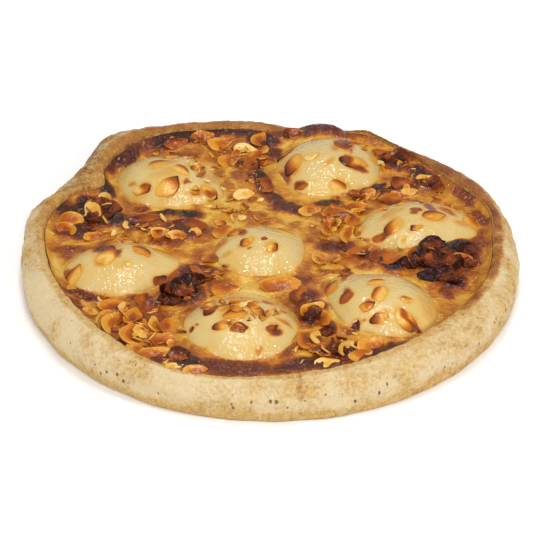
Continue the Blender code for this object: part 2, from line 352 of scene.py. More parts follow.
@dataclass(frozen=True)
class BakedShortcrust(Finish):
    """Sweet shortcrust, pressed by hand, floured and baked: matt, with pores and pale flour."""

    # Noises: size in mm, detail and roughness
    blotch: Row = (8.0, 4.0, 0.6)
    grain: Row = (1.5, 3.0, 0.75)
    streak: Row = (1.6, 3.0, 0.55)
    dusting: Row = (2.1, 5.0, 0.65)
    # Streaks and pores are drawn out upwards, as the dough was pressed up the wall
    drawn: Row = (1.0, 1.0, 0.6)
    # How much each noise deepens the baking; the grain's share also darkens the dents that the bump presses
    # from the same noise, as painted shade
    shares: tuple[tuple[str, float], ...] = (("blotch", 0.22), ("streak", 0.24), ("grain", 0.85))
    dough: Stops = ((0.46, "DCC594"), (0.56, "D4B67C"), (0.66, "CDA866"), (0.80, "C0944E"),
                    (0.92, "A27134"), (1.0, "7C4C22"))
    flour: str = "E1CCA2"
    flour_fade: Row = (0.9, 1.3)
    flour_cover: float = 0.8
    syrup: Stops = ((0.30, "CFA566"), (0.46, "BF8638"), (0.60, "AC6C26"), (0.80, "8E5019"), (1.0, "6A3414"))
    syrup_streak: float = 0.5
    syrup_fade: Row = (0.32, 0.62)
    syrup_roughness: float = 0.42
    pore: float = 2.9
    # Painted shade at the bottoms of the pores
    pore_shade_colour: str = "8A6436"
    pore_gate: float = 0.3
    pore_width: float = 0.36
    pore_edge: float = 0.07
    pore_depth: float = 1.6
    streak_depth: float = 0.9
    relief: float = 1.1

    def make(self) -> bpy.types.Material:
        """Builds the material, which reads baking, flour, pricks and syrup from the case.

        Returns:
            The material.
        """
        material, tree, shader, place = self.start()
        drawn = add_node(tree, "Mapping", {"Vector": place, "Scale": self.drawn}).outputs[0]
        read = {name: add_node(tree, "Attribute", attribute_name=name).outputs["Fac"]
                for name in ("bake_and_lap_shadow", "syrup", "flour", "pricked")}
        noises = {}
        for name, source, (size, detail, roughness) in (
                ("blotch", place, self.blotch), ("grain", place, self.grain),
                ("streak", drawn, self.streak), ("dusting", place, self.dusting)):
            pattern = add_node(tree, "TexNoise", {"Vector": source, "Scale": per_mm(size), "Detail": detail,
                                                  "Roughness": roughness})
            noises[name] = pattern.outputs["Fac"]
        # Depth of baking: low wall golden, shoulder and rim pale. The grain's share is painted shade as well
        # as grain, darkening to gold the dents that the bump presses from the same noise
        depth = read["bake_and_lap_shadow"]
        for name, share in self.shares:
            depth = add_node(tree, "Math", {0: noises[name], 1: share, 2: depth},
                             operation="MULTIPLY_ADD").outputs[0]
        baked = add_node(tree, "ValToRGB", {"Fac": depth}, stops=self.dough)
        # Raw flour caught in the dents of the shoulder
        dusted = add_node(tree, "Math", {0: noises["dusting"], 1: read["flour"]}, operation="ADD")
        dusted = add_node(tree, "MapRange", {"Value": dusted.outputs[0], "From Min": self.flour_fade[0],
                                             "From Max": self.flour_fade[1], "To Max": self.flour_cover})
        floured = add_node(tree, "Mix", {"Factor": dusted.outputs[0], 6: baked.outputs[0],
                                         7: linear(self.flour)}, data_type="RGBA")
        # Syrup that boiled over stains the inner slope amber
        wet = add_node(tree, "Math", {0: noises["streak"], 1: self.syrup_streak, 2: read["syrup"]},
                       operation="MULTIPLY_ADD").outputs[0]
        amber = add_node(tree, "ValToRGB", {"Fac": wet}, stops=self.syrup)
        share = add_node(tree, "MapRange", {"Value": wet, "From Min": self.syrup_fade[0],
                                            "From Max": self.syrup_fade[1]}).outputs[0]
        syrupy = add_node(tree, "Mix", {"Factor": share, 6: floured.outputs[2], 7: amber.outputs[0]},
                          data_type="RGBA")
        # Pores: pinholes pressed in by the bump, their dark bottoms painted shade
        pores = add_node(tree, "TexVoronoi", {"Vector": drawn, "Scale": per_mm(self.pore), "Randomness": 1.0})
        chance = add_node(tree, "SeparateColor", {"Color": pores.outputs["Color"]})
        width = add_node(tree, "MapRange", {"Value": chance.outputs[0], "From Min": self.pore_gate,
                                            "To Max": self.pore_width})
        width = add_node(tree, "Math", {0: width.outputs[0], 1: read["pricked"]}, operation="MULTIPLY")
        hole = add_node(tree, "Math", {0: width.outputs[0], 1: pores.outputs["Distance"]},
                        operation="SUBTRACT")
        hole = add_node(tree, "MapRange", {"Value": hole.outputs[0], "From Max": self.pore_edge}).outputs[0]
        shaded_pits = add_node(tree, "Mix", {"Factor": hole, 6: syrupy.outputs[2], 7: linear(self.pore_shade_colour)},
                          data_type="RGBA")
        rough = add_node(tree, "MapRange", {"Value": share, "To Min": self.roughness,
                                            "To Max": self.syrup_roughness})
        # Dents where the grain is high, the places its colour darkens as painted shade
        height = add_node(tree, "Math", {0: 1.0, 1: noises["grain"]}, operation="SUBTRACT").outputs[0]
        for pattern, amount in ((hole, -self.pore_depth), (noises["streak"], self.streak_depth)):
            height = add_node(tree, "Math", {0: pattern, 1: amount, 2: height},
                              operation="MULTIPLY_ADD").outputs[0]
        bump = add_node(tree, "Bump", {"Height": height, "Strength": 1.0, "Distance": self.relief * MM})
        tree.links.new(shaded_pits.outputs[2], shader.inputs["Base Color"])
        tree.links.new(rough.outputs[0], shader.inputs["Roughness"])
        tree.links.new(bump.outputs[0], shader.inputs["Normal"])
        return material


@dataclass(frozen=True)
class GlazedCrumb(Finish):
    """Frangipane or fruit, baked and brushed with clear glaze: one ramp from pale to scorched.

    The depth of colour comes from the piece's own "toast" attribute, broken up by noise,
    so that a scorched patch fades through amber into gold, as sugar browns.
    """

    ramp: Stops = ()
    mottle: float = 3.0
    mottle_depth: float = 0.2
    speck: float = 0.9
    speck_depth: float = 0.1
    relief: float = 0.2
    relief_size: float = 1.3
    ripple: float = 0.8
    ripple_size: float = 2.0
    bump_strength: float = 0.6
    # Small dark freckles, as in pear flesh: spacing in mm, or 0 for none
    freckle: float = 0.0
    freckle_colour: str = "6A4A28"
    freckle_gate: float = 0.7
    freckle_width: float = 0.085
    freckle_fade: Row = (-0.01, 0.04)
    freckle_cover: float = 0.75

    def make(self) -> bpy.types.Material:
        """Builds the material.

        Returns:
            The material.
        """
        material, tree, shader, place = self.start()
        depth = add_node(tree, "Attribute", attribute_name="toast").outputs["Fac"]
        for size, detail, roughness, amount in ((self.mottle, 4.0, 0.6, self.mottle_depth),
                                                (self.speck, 2.0, 0.5, self.speck_depth)):
            pattern = add_node(tree, "TexNoise", {"Vector": place, "Scale": per_mm(size), "Detail": detail,
                                                  "Roughness": roughness})
            depth = add_node(tree, "Math", {0: pattern.outputs["Fac"], 1: amount, 2: depth},
                             operation="MULTIPLY_ADD").outputs[0]
        level = add_node(tree, "Math", {0: depth, 1: 0.5 * (self.mottle_depth + self.speck_depth)},
                         operation="SUBTRACT")
        colour = add_node(tree, "ValToRGB", {"Fac": level.outputs[0]}, stops=self.ramp).outputs[0]
        if self.freckle:
            colour = self.freckled(tree, place, colour)
        tree.links.new(colour, shader.inputs["Base Color"])
        # Glaze pools over the fine crumb, so its glints are broader than the surface's own grain
        for socket, size, detail, roughness, rise in (
                ("Normal", self.relief_size, 3.0, 0.55, self.relief),
                ("Coat Normal", self.ripple_size, 0.5, 0.5, self.ripple)):
            pattern = add_node(tree, "TexNoise", {"Vector": place, "Scale": per_mm(size), "Detail": detail,
                                                  "Roughness": roughness})
            bump = add_node(tree, "Bump", {"Height": pattern.outputs["Fac"], "Strength": self.bump_strength,
                                           "Distance": rise * MM})
            tree.links.new(bump.outputs[0], shader.inputs[socket])
        return material

    def freckled(self, tree: bpy.types.NodeTree, place: bpy.types.NodeSocket,
                 colour: bpy.types.NodeSocket) -> bpy.types.NodeSocket:
        """Sprinkles freckles over a colour.

        Args:
            tree: the material's node tree.
            place: the Object coordinates.
            colour: the plain colour.

        Returns:
            The freckled colour.
        """
        cell = add_node(tree, "TexVoronoi", {"Vector": place, "Scale": per_mm(self.freckle),
                                             "Randomness": 1.0})
        chance = add_node(tree, "SeparateColor", {"Color": cell.outputs["Color"]})
        width = add_node(tree, "MapRange", {"Value": chance.outputs[0], "From Min": self.freckle_gate,
                                            "To Max": self.freckle_width})
        dot = add_node(tree, "Math", {0: width.outputs[0], 1: cell.outputs["Distance"]}, operation="SUBTRACT")
        dot = add_node(tree, "MapRange", {"Value": dot.outputs[0], "From Min": self.freckle_fade[0],
                                          "From Max": self.freckle_fade[1], "To Max": self.freckle_cover})
        return add_node(tree, "Mix", {"Factor": dot.outputs[0], 6: colour, 7: linear(self.freckle_colour)},
                        data_type="RGBA").outputs[2]


# Matt baked dough, faintly translucent where it is thin
SHORTCRUST = BakedShortcrust("baked_floured_shortcrust", roughness=0.82, subsurface=0.08)
# Browned frangipane under apricot glaze: gold where it is thick, red-brown and black where it caught
FRANGIPANE = GlazedCrumb(
    "glazed_browned_frangipane", roughness=0.45, specular=0.15, coat=0.7, coat_roughness=0.06,
    subsurface=0.12,
    ramp=((0.0, "DFC078"), (0.14, "DAAE4A"), (0.28, "CB8E26"), (0.42, "AD6311"), (0.56, "823B09"),
          (0.70, "5E2408"), (0.85, "3B1506"), (1.0, "1C0A04")),
    mottle=3.0, mottle_depth=0.34, speck=0.9, speck_depth=0.18, relief=1.3, relief_size=1.6,
    ripple=3.4, ripple_size=2.0)
# Poached pear flesh: creamy, translucent, wet, with small dark freckles
POACHED_PEAR = GlazedCrumb(
    "glazed_poached_pear", roughness=0.42, specular=0.3, coat=1.0, coat_roughness=0.06, subsurface=0.3,
    subsurface_depth=2.5,
    ramp=((0.0, "D2B778"), (0.12, "D2AD5A"), (0.26, "CC963A"), (0.38, "BE721E"), (0.52, "984A12"),
          (0.68, "682A0E"), (0.84, "42180B"), (1.0, "2A1008")),
    mottle=7.0, mottle_depth=0.18, speck=1.1, speck_depth=0.08, freckle=5.0, relief=0.25, relief_size=1.7,
    ripple=1.4, ripple_size=1.9)
# Toasted almond flakes, dipped in glaze: pale edges and amber hearts
TOASTED_ALMOND = GlazedCrumb(
    "toasted_glazed_almond", roughness=0.42, specular=0.12, coat=0.4, coat_roughness=0.08, subsurface=0.12,
    ramp=((0.0, "E8C880"), (0.12, "DBA746"), (0.26, "C97F1C"), (0.40, "AE5A0C"), (0.56, "873E0B"),
          (0.72, "5C230B"), (0.86, "3A1409"), (1.0, "240E07")),
    mottle=2.6, mottle_depth=0.2, speck=0.8, speck_depth=0.08, relief=0.5, relief_size=1.6, ripple=0.8)
# Boiled-over caramel and scorched skins: nearly black, with a hard gloss
CARAMEL = GlazedCrumb(
    "boiled_caramel", roughness=0.4, specular=0.06, coat=0.28, coat_roughness=0.06, subsurface=0.03,
    ramp=((0.0, "A0561A"), (0.35, "6E2E0C"), (0.6, "431A08"), (1.0, "260D05")),
    mottle=4.0, mottle_depth=0.5, speck=1.2, speck_depth=0.15, relief=0.3, relief_size=1.5,
    ripple=1.2, ripple_size=1.5)


# The tart's parts


@dataclass
class Dough:
    """The case's points once shaped, and what each had on the plain case or has on its wall."""

    points: np.ndarray
    past_edge: np.ndarray
    angle: np.ndarray
    z: np.ndarray
    inside: np.ndarray


@dataclass
class Case:
    """The shortcrust case: its plain round form and the swellings of its hand-made rim."""

    base_radius: float = 123.5
    foot_radius: float = 1.8
    belly: float = 1.6
    shoulder_height: float = 11.5
    shoulder_turn: float = 76.0
    rim_height: float = 21.8
    inner_radius: float = 112.0
    # The crest's inner edge: steps out from the inner radius and down from the rim
    lip_curve: tuple[Row, ...] = ((1.6, 0.0), (0.6, 0.3), (0.15, 0.7))
    lip_drop: float = 1.2
    wall_draft: float = 3.5
    floor: float = 5.0
    underside_rings: Row = (0.0, 30.0, 60.0, 90.0, 110.0, 118.0)
    floor_rings: Row = (100.0, 70.0, 35.0, 0.0)
    foot_steps: int = 4
    wall_steps: int = 11
    shoulder_steps: int = 22
    inner_steps: int = 12
    segments: int = 760
    # Swellings: angle, half-width, mm
    outer_swells: tuple[Row, ...] = (
        (129, 11, 12.0), (112, 12, 6.0), (94, 20, 3.0), (165, 9, 6.0), (75, 5, 3.0), (56, 12, -7.0),
        (29, 10, 1.5), (-137, 12, 1.5),
    )
    inner_swells: tuple[Row, ...] = (
        (-112, 17, 5.5), (-44, 26, -2.5), (-153, 14, -1.0), (18, 11, 4.5), (66, 14, 6.0), (118, 17, 9.0),
        (147, 5, -9.0), (168, 13, 4.0),
    )
    height_swells: tuple[Row, ...] = (
        (-95, 26, -1.5), (-45, 26, 1.8), (-150, 28, 1.5), (130, 12, 4.0), (79, 11, -5.0), (65, 5, 2.0),
    )
    lean_power: float = 1.5
    dents: Row = (0.8, 13.0, 0.0)
    dent_fade: float = 0.5
    # The lap seam, where the strip of dough ends on itself
    seam_angle: float = -84.0
    seam_step: float = 1.3
    seam_run: float = 22.0
    seam_step_fade: Row = (1.0, 12.0)
    seam_half_width: float = 0.55
    seam_depth: float = 1.0
    seam_out_fade: Row = (1.0, 4.0)
    seam_up_fade: Row = (9.0, 13.0)
    # Angle past the seam, half-width and strength of the painted shadow along the lap's edge
    lap_shadow: Row = (0.8, 0.6, 0.2)
    # Relief of the hand-pressed dough
    lumps: tuple[Row, ...] = ((0.4, 5.5, 1.0), (0.28, 2.6, 2.0), (0.14, 1.4, 8.0))
    foot_fade: Row = (0.4, 2.4)
    smooth_inside: float = 3.2
    torn: Row = (0.9, 6.5, 3.0)
    torn_swells: tuple[Row, ...] = ((131, 17, 1.0), (165, 10, 0.6), (60, 12, 0.5))
    torn_fade: Row = (12.0, 18.0)
    # Cracks run up the wall: sharpness, size and seed, and where the dough has any
    cracks: Row = (9.0, 6.0, 4.0)
    crack_stretch: Row = (1.0, 1.0, 0.25)
    crack_depth: float = 0.3
    crack_places: Row = (1.0, 16.0, 5.0)
    crack_fade: Row = (-0.1, 0.2)
    # Where the dough baked darker: angle, half-width, strength
    bake_swells: tuple[Row, ...] = (
        (80, 42, 0.26), (140, 26, 0.2), (30, 24, 0.12), (172, 16, 0.1), (-25, 30, 0.04),
    )
    bake_least: float = 0.4
    bake_fade: Row = (8.0, 16.0)
    bake_start: float = 0.02
    bake_patches: tuple[Row, ...] = ((0.1, 22.0, 6.0), (0.16, 3.4, 9.0))
    # Where flour was left: up the wall and out from the inner edge
    flour_up: Row = (3.0, 9.0, 11.0)
    flour_up_fade: Row = (-1.5, 10.5)
    flour_out_fade: Row = (2.0, 5.0)
    flour_swells: tuple[Row, ...] = ((-155, 40, 0.25),)
    flour_amount: float = 0.66
    flour_patches: Row = (0.36, 12.0, 10.0)
    # The row of pricks half-way up the wall, and the few beside it
    prick_height: float = 11.5
    prick_spread: float = 3.6
    prick_waves: Row = (3.0, 20.0, 12.0)
    prick_few: float = 0.45
    prick_row: float = 0.75
    prick_places: Row = (1.0, 24.0, 13.0)
    # Where syrup ran over the inner slope: angle, half-width, strength
    syrup_runs: tuple[Row, ...] = (
        (12, 22, 0.38), (45, 24, 0.30), (82, 26, 0.34), (-12, 10, 0.26), (-28, 6, 0.4), (125, 24, 0.28),
        (165, 10, 0.2),
    )
    syrup_film: float = 0.06
    syrup_most: float = 0.8
    syrup_inside: float = 0.14
    syrup_reach: float = 5.5
    syrup_reach_swells: tuple[Row, ...] = ((60, 60, 5.5),)
    syrup_out_fade: Row = (0.0, -4.5)
    syrup_up_fade: Row = (12.0, 16.0)
    syrup_patches: Row = (0.5, 6.0, 7.0)

    def inner(self, angle: np.ndarray) -> np.ndarray:
        """Radius of the rim's inner edge."""
        return self.inner_radius + swell(angle, self.inner_swells)

    def height(self, angle: np.ndarray) -> np.ndarray:
        """Height of the rim's crest."""
        return self.rim_height + swell(angle, self.height_swells)

    def inner_face(self, angle: np.ndarray, z: np.ndarray) -> np.ndarray:
        """Radius of the wall's inner face at a height."""
        lip = self.height(angle) - self.lip_drop
        return self.inner(angle) - self.wall_draft * (lip - z) / (lip - self.floor)

    def outer_offset(self, angle: np.ndarray, z: np.ndarray) -> np.ndarray:
        """Gives how far the outside stands away from the plain round wall.

        Args:
            angle: angles in degrees.
            z: heights in mm.

        Returns:
            The offset in mm.
        """
        lean = np.clip(z / self.rim_height, 0.0, 1.0) ** self.lean_power
        past_seam = (angle - self.seam_angle) % 360.0
        step = self.seam_step * np.exp(-past_seam / self.seam_run) * eased(z, *self.seam_step_fade)
        return lean * swell(angle, self.outer_swells) - step

    def profile(self) -> list[tuple[float, float]]:
        """Gives the plain case's outline from the underside's middle round to the floor's.

        Returns:
            Radius and height of each point.
        """
        points = [(ring, 0.0) for ring in self.underside_rings]
        for step in range(self.foot_steps + 1):
            turn = math.pi / 2.0 * step / self.foot_steps
            points.append((self.base_radius - self.foot_radius * (1.0 - math.sin(turn)),
                           self.foot_radius * (1.0 - math.cos(turn))))
        for step in range(1, self.wall_steps + 1):
            share = step / self.wall_steps
            points.append((self.base_radius + self.belly * math.sin(share * math.pi / 2.0),
                           self.foot_radius + (self.shoulder_height - self.foot_radius) * share))
        reach = self.base_radius + self.belly - self.inner_radius
        full = math.radians(self.shoulder_turn)
        rise = (self.rim_height - self.shoulder_height) / math.sin(full)
        for step in range(1, self.shoulder_steps + 1):
            turn = full * step / self.shoulder_steps
            points.append((self.inner_radius + reach * math.cos(turn),
                           self.shoulder_height + rise * math.sin(turn)))
        points += [(self.inner_radius + out, self.rim_height - drop) for out, drop in self.lip_curve]
        lip = self.rim_height - self.lip_drop
        for step in range(self.inner_steps + 1):
            share = step / self.inner_steps
            points.append((self.inner_radius - self.wall_draft * share, lip + (self.floor - lip) * share))
        return points + [(ring, self.floor) for ring in self.floor_rings]

    def build(self) -> bpy.types.Object:
        """Models the case, works the dough by hand, and bakes it.

        Returns:
            The piece.
        """
        bm = bmesh.new()
        verts = [bm.verts.new((radius, 0.0, z)) for radius, z in self.profile()]
        edges = [bm.edges.new(pair) for pair in zip(verts, verts[1:])]
        bmesh.ops.spin(bm, geom=verts + edges, cent=(0, 0, 0), axis=(0, 0, 1), dvec=(0, 0, 0),
                       angle=math.tau, steps=self.segments, use_merge=True)
        bmesh.ops.remove_doubles(bm, verts=bm.verts, dist=0.001)
        bmesh.ops.recalc_face_normals(bm, faces=bm.faces)
        mesh = to_mesh("shortcrust_case", bm)
        dough = self.work_dough(mesh)
        self.press_relief(mesh, dough)
        self.brown(mesh, dough)
        return finished("shortcrust_case", mesh, SHORTCRUST.make(), ("crust",))

    def work_dough(self, mesh: bpy.types.Mesh) -> Dough:
        """Gives the plain case its uneven rim and its dents.

        Args:
            mesh: the plain case, changed in place.

        Returns:
            What its points know of the plain case.
        """
        x, y, z = coordinates(mesh).T.copy()
        radius = np.hypot(x, y)
        turn = np.arctan2(y, x)
        angle = np.degrees(turn)
        on_floor = np.abs(z - self.floor) < TOUCH
        above = z > self.floor + TOUCH
        inside = above & (radius < self.inner_radius + TOUCH)
        new_z = np.where(above, z * self.height(angle) / self.rim_height, z)
        face = self.inner_face(angle, new_z)
        outward = np.maximum((radius - self.inner_radius) / (self.base_radius - self.inner_radius), 0.0)
        outer = radius + self.outer_offset(angle, new_z) * outward
        near_rim = swell(angle, self.inner_swells) * np.maximum(1.0 - outward, 0.0)
        outer += np.where(new_z > self.shoulder_height, near_rim, 0.0)
        dents = layered(np.column_stack((x, y, new_z)), self.dents)
        outer += np.where(z > TOUCH, dents * np.minimum(outward / self.dent_fade, 1.0), 0.0)
        wide = np.where(inside, face, outer)
        wide = np.where(on_floor, radius * face / (self.inner_radius - self.wall_draft), wide)
        put_coordinates(mesh, np.column_stack((wide * np.cos(turn), wide * np.sin(turn), new_z)))
        return Dough(coordinates(mesh), radius - self.inner_radius, angle, new_z, inside)

    def press_relief(self, mesh: bpy.types.Mesh, dough: Dough) -> None:
        """Presses lumps, torn stretches, cracks and the seam into the surface.

        Args:
            mesh: the case, changed in place.
            dough: its points.
        """
        points, angle, z = dough.points, dough.angle, dough.z
        torn = swell(angle, self.torn_swells) * eased(z, *self.torn_fade)
        relief = layered(points, *self.lumps) + torn * layered(points, self.torn)
        cracked = eased(layered(points, self.crack_places), *self.crack_fade)
        relief -= self.crack_depth * creases(points * np.array(self.crack_stretch), *self.cracks) * cracked
        seam = swell(angle, ((self.seam_angle, self.seam_half_width, self.seam_depth),))
        relief -= seam * eased(dough.past_edge, *self.seam_out_fade) * eased(z, *self.seam_up_fade)
        open_air = eased(z, *self.foot_fade) * (dough.past_edge > -self.smooth_inside)
        raise_surface(mesh, points, relief * open_air)

    def brown(self, mesh: bpy.types.Mesh, dough: Dough) -> None:
        """Stores how the case baked, with painted shadow along the lap's edge, and where flour, pricks and
        syrup are.

        Args:
            mesh: the case.
            dough: its points.
        """
        points, angle, z = dough.points, dough.angle, dough.z
        darker = swell(angle, self.bake_swells)
        # Painted shadow: a thin darker strip just past the seam on the upper wall, beside the stepped lap
        past, half_width, strength = self.lap_shadow
        lap = swell(angle, ((self.seam_angle + past, half_width, strength),)) * eased(z, *self.seam_up_fade)
        bake_and_lap_shadow = darker * (self.bake_least + (1.0 - self.bake_least) * eased(z, *self.bake_fade)) + lap
        put_attribute(mesh, "bake_and_lap_shadow", self.bake_start + bake_and_lap_shadow + layered(points, *self.bake_patches))
        flour = eased(z + layered(points, self.flour_up), *self.flour_up_fade)
        flour *= eased(dough.past_edge, *self.flour_out_fade) + swell(angle, self.flour_swells)
        flour *= self.flour_amount + layered(points, self.flour_patches)
        put_attribute(mesh, "flour", flour - darker)
        off_row = (z - self.prick_height + layered(points, self.prick_waves)) / self.prick_spread
        pricked = self.prick_few + self.prick_row * np.exp(-(off_row ** 2))
        put_attribute(mesh, "pricked", pricked * eased(layered(points, self.prick_places), -1.0, 0.0))
        reach = self.syrup_reach + swell(angle, self.syrup_reach_swells)
        slope = eased(dough.past_edge - reach, *self.syrup_out_fade) * eased(z, *self.syrup_up_fade)
        syrup = slope * np.clip(swell(angle, self.syrup_runs) + self.syrup_film, 0.0, self.syrup_most)
        syrup = np.where(dough.inside, self.syrup_inside, syrup)
        put_attribute(mesh, "syrup", syrup * (1.0 + layered(points, self.syrup_patches)))


@dataclass
class Pear:
    """One poached pear half: its place, heading from bulb to neck and size."""

    node: str
    x: float
    y: float
    heading: float
    length: float
    width: float
    top: float
    seat: float = 11.0
    neck_taper: float = 0.34
    # Shares of the half-length from which the neck narrows, and from which the ends go golden and darker,
    # partly painted shade
    neck_fade: Row = (-0.15, 1.0)
    ends_fade: Row = (0.45, 0.95)
    subdivisions: int = 7
    # Relief of the soft flesh
    softness: tuple[Row, ...] = ((0.4, 16.0, 1.0), (0.2, 6.0, 2.0))
    settling: float = 0.12
    proudest: float = 0.06
    grain: Row = (0.06, 2.4, 3.0)
    grain_places: Row = (1.0, 14.0, 5.0)
    grain_fade: Row = (-0.75, 0.25)
    rim_fade: Row = (0.0, 0.15)
    shrinkage: float = 0.25
    shrunk_fade: Row = (0.5, 0.9)
    # Browning, and how far above the filling in mm its colour creeps up the pear
    stain_depth: float = 0.8
    creep_fade: Row = (1.7, 0.5)
    # The foot by the filling and the two ends deepen in colour: partly the syrup's gold, partly painted shade
    foot_fade: Row = (2.6, 0.0)
    pale_tone: float = 0.04
    foot_gold_and_shade: float = 0.12
    ends_gold_and_shade: float = 0.06
    patches: Row = (0.07, 11.0, 4.0)
    mingling: float = 0.25

    def local(self, x: np.ndarray, y: np.ndarray) -> Pair:
        """Gives plan places as shares of the pear's half-length and half-width."""
        along, across = turned(x - self.x, y - self.y, self.heading)
        return along / (self.length / 2), across / (self.width / 2)

    def taper(self, along: np.ndarray) -> np.ndarray:
        """Width share at a place along the pear."""
        return 1.0 - self.neck_taper * eased(along, *self.neck_fade)

    def height(self, x: np.ndarray, y: np.ndarray) -> np.ndarray:
        """Gives the round side's height over plan places.

        Args:
            x: places across in mm.
            y: places away from the viewer in mm.

        Returns:
            The height, which is the seat's outside the pear.
        """
        along, across = self.local(x, y)
        share = self.taper(along)
        inside = np.maximum(1.0 - along ** 2 - (across / share) ** 2, 0.0)
        return self.seat + (self.top - self.seat) * share * np.sqrt(inside)

    def build(self, stains: Sequence[Row], filling: Filling,
              material: bpy.types.Material) -> bpy.types.Object:
        """Models the half, round side up.

        Args:
            stains: browned places, shared by all the pears.
            filling: what it lies in, whose browning creeps up its foot.
            material: the pears' finish.

        Returns:
            The piece.
        """
        bm = bmesh.new()
        bmesh.ops.create_icosphere(bm, subdivisions=self.subdivisions, radius=1.0)
        cut = bmesh.ops.bisect_plane(bm, geom=bm.verts[:] + bm.edges[:] + bm.faces[:], dist=0.0001,
                                     plane_co=(0, 0, 0), plane_no=(0, 0, 1), clear_inner=True)
        edges = [item for item in cut["geom_cut"] if isinstance(item, bmesh.types.BMEdge)]
        bmesh.ops.edgeloop_fill(bm, edges=edges)
        bmesh.ops.recalc_face_normals(bm, faces=bm.faces)
        mesh = to_mesh(self.node, bm, scale=1.0)
        unit = coordinates(mesh) * MM
        share = self.taper(unit[:, 0])
        x, y = turned(unit[:, 0] * self.length / 2, unit[:, 1] * self.width / 2 * share, -self.heading)
        z = self.seat + unit[:, 2] * (self.top - self.seat) * share
        put_coordinates(mesh, np.column_stack((self.x + x, self.y + y, z)))
        self.brown(mesh, unit, stains, filling)
        return finished(f"poached_{self.node}", mesh, material, (self.node,))

    def brown(self, mesh: bpy.types.Mesh, unit: np.ndarray, stains: Sequence[Row], filling: Filling) -> None:
        """Softens the flesh, shrinks it where it browned and stores its colour, with partly painted shade at
        its foot and ends.

        Args:
            mesh: the pear half, changed in place.
            unit: its points on the half ball that it is made from.
            stains: browned places.
            filling: what it lies in.
        """
        points = coordinates(mesh)
        x, y, z = points.T
        above = z - filling.height(x, y)
        creep = stained(x, y, filling.stains) * eased(above, *self.creep_fade)
        toast = np.maximum(self.stain_depth * stained(x, y, stains, PEAR_RAGGED), creep)
        soft = layered(points, *self.softness) - self.shrinkage * eased(toast, *self.shrunk_fade)
        grain = layered(points, self.grain) * eased(layered(points, self.grain_places), *self.grain_fade)
        relief = np.minimum(soft - self.settling, self.proudest) + grain
        raise_surface(mesh, points, relief * eased(unit[:, 2], *self.rim_fade))
        # Flesh tone, deepened at the foot and the ends: partly the syrup's gold, partly painted shade
        flesh_tone_and_shade = self.pale_tone + self.foot_gold_and_shade * eased(above, *self.foot_fade)
        flesh_tone_and_shade += self.ends_gold_and_shade * eased(np.abs(unit[:, 0]), *self.ends_fade) + layered(points, self.patches)
        put_attribute(mesh, "toast", np.maximum(flesh_tone_and_shade, toast) + self.mingling * np.minimum(flesh_tone_and_shade, toast))


PEARS = (
    Pear("pear_front", -14, -66, 84, 68, 62, 28.5),
    Pear("pear_centre", -3, -2, 48, 61, 54, 28.0),
    Pear("pear_front_right", 51, -47, 139, 73, 55, 28.0),
    Pear("pear_right", 70, 17, 194, 77, 56, 27.5),
    Pear("pear_back_right", 29, 74, 250, 70, 60, 29.0),
    Pear("pear_back_left", -49, 60, -35, 70, 54, 28.5),
    Pear("pear_left", -70, -18, 5, 71, 51, 27.0),
)

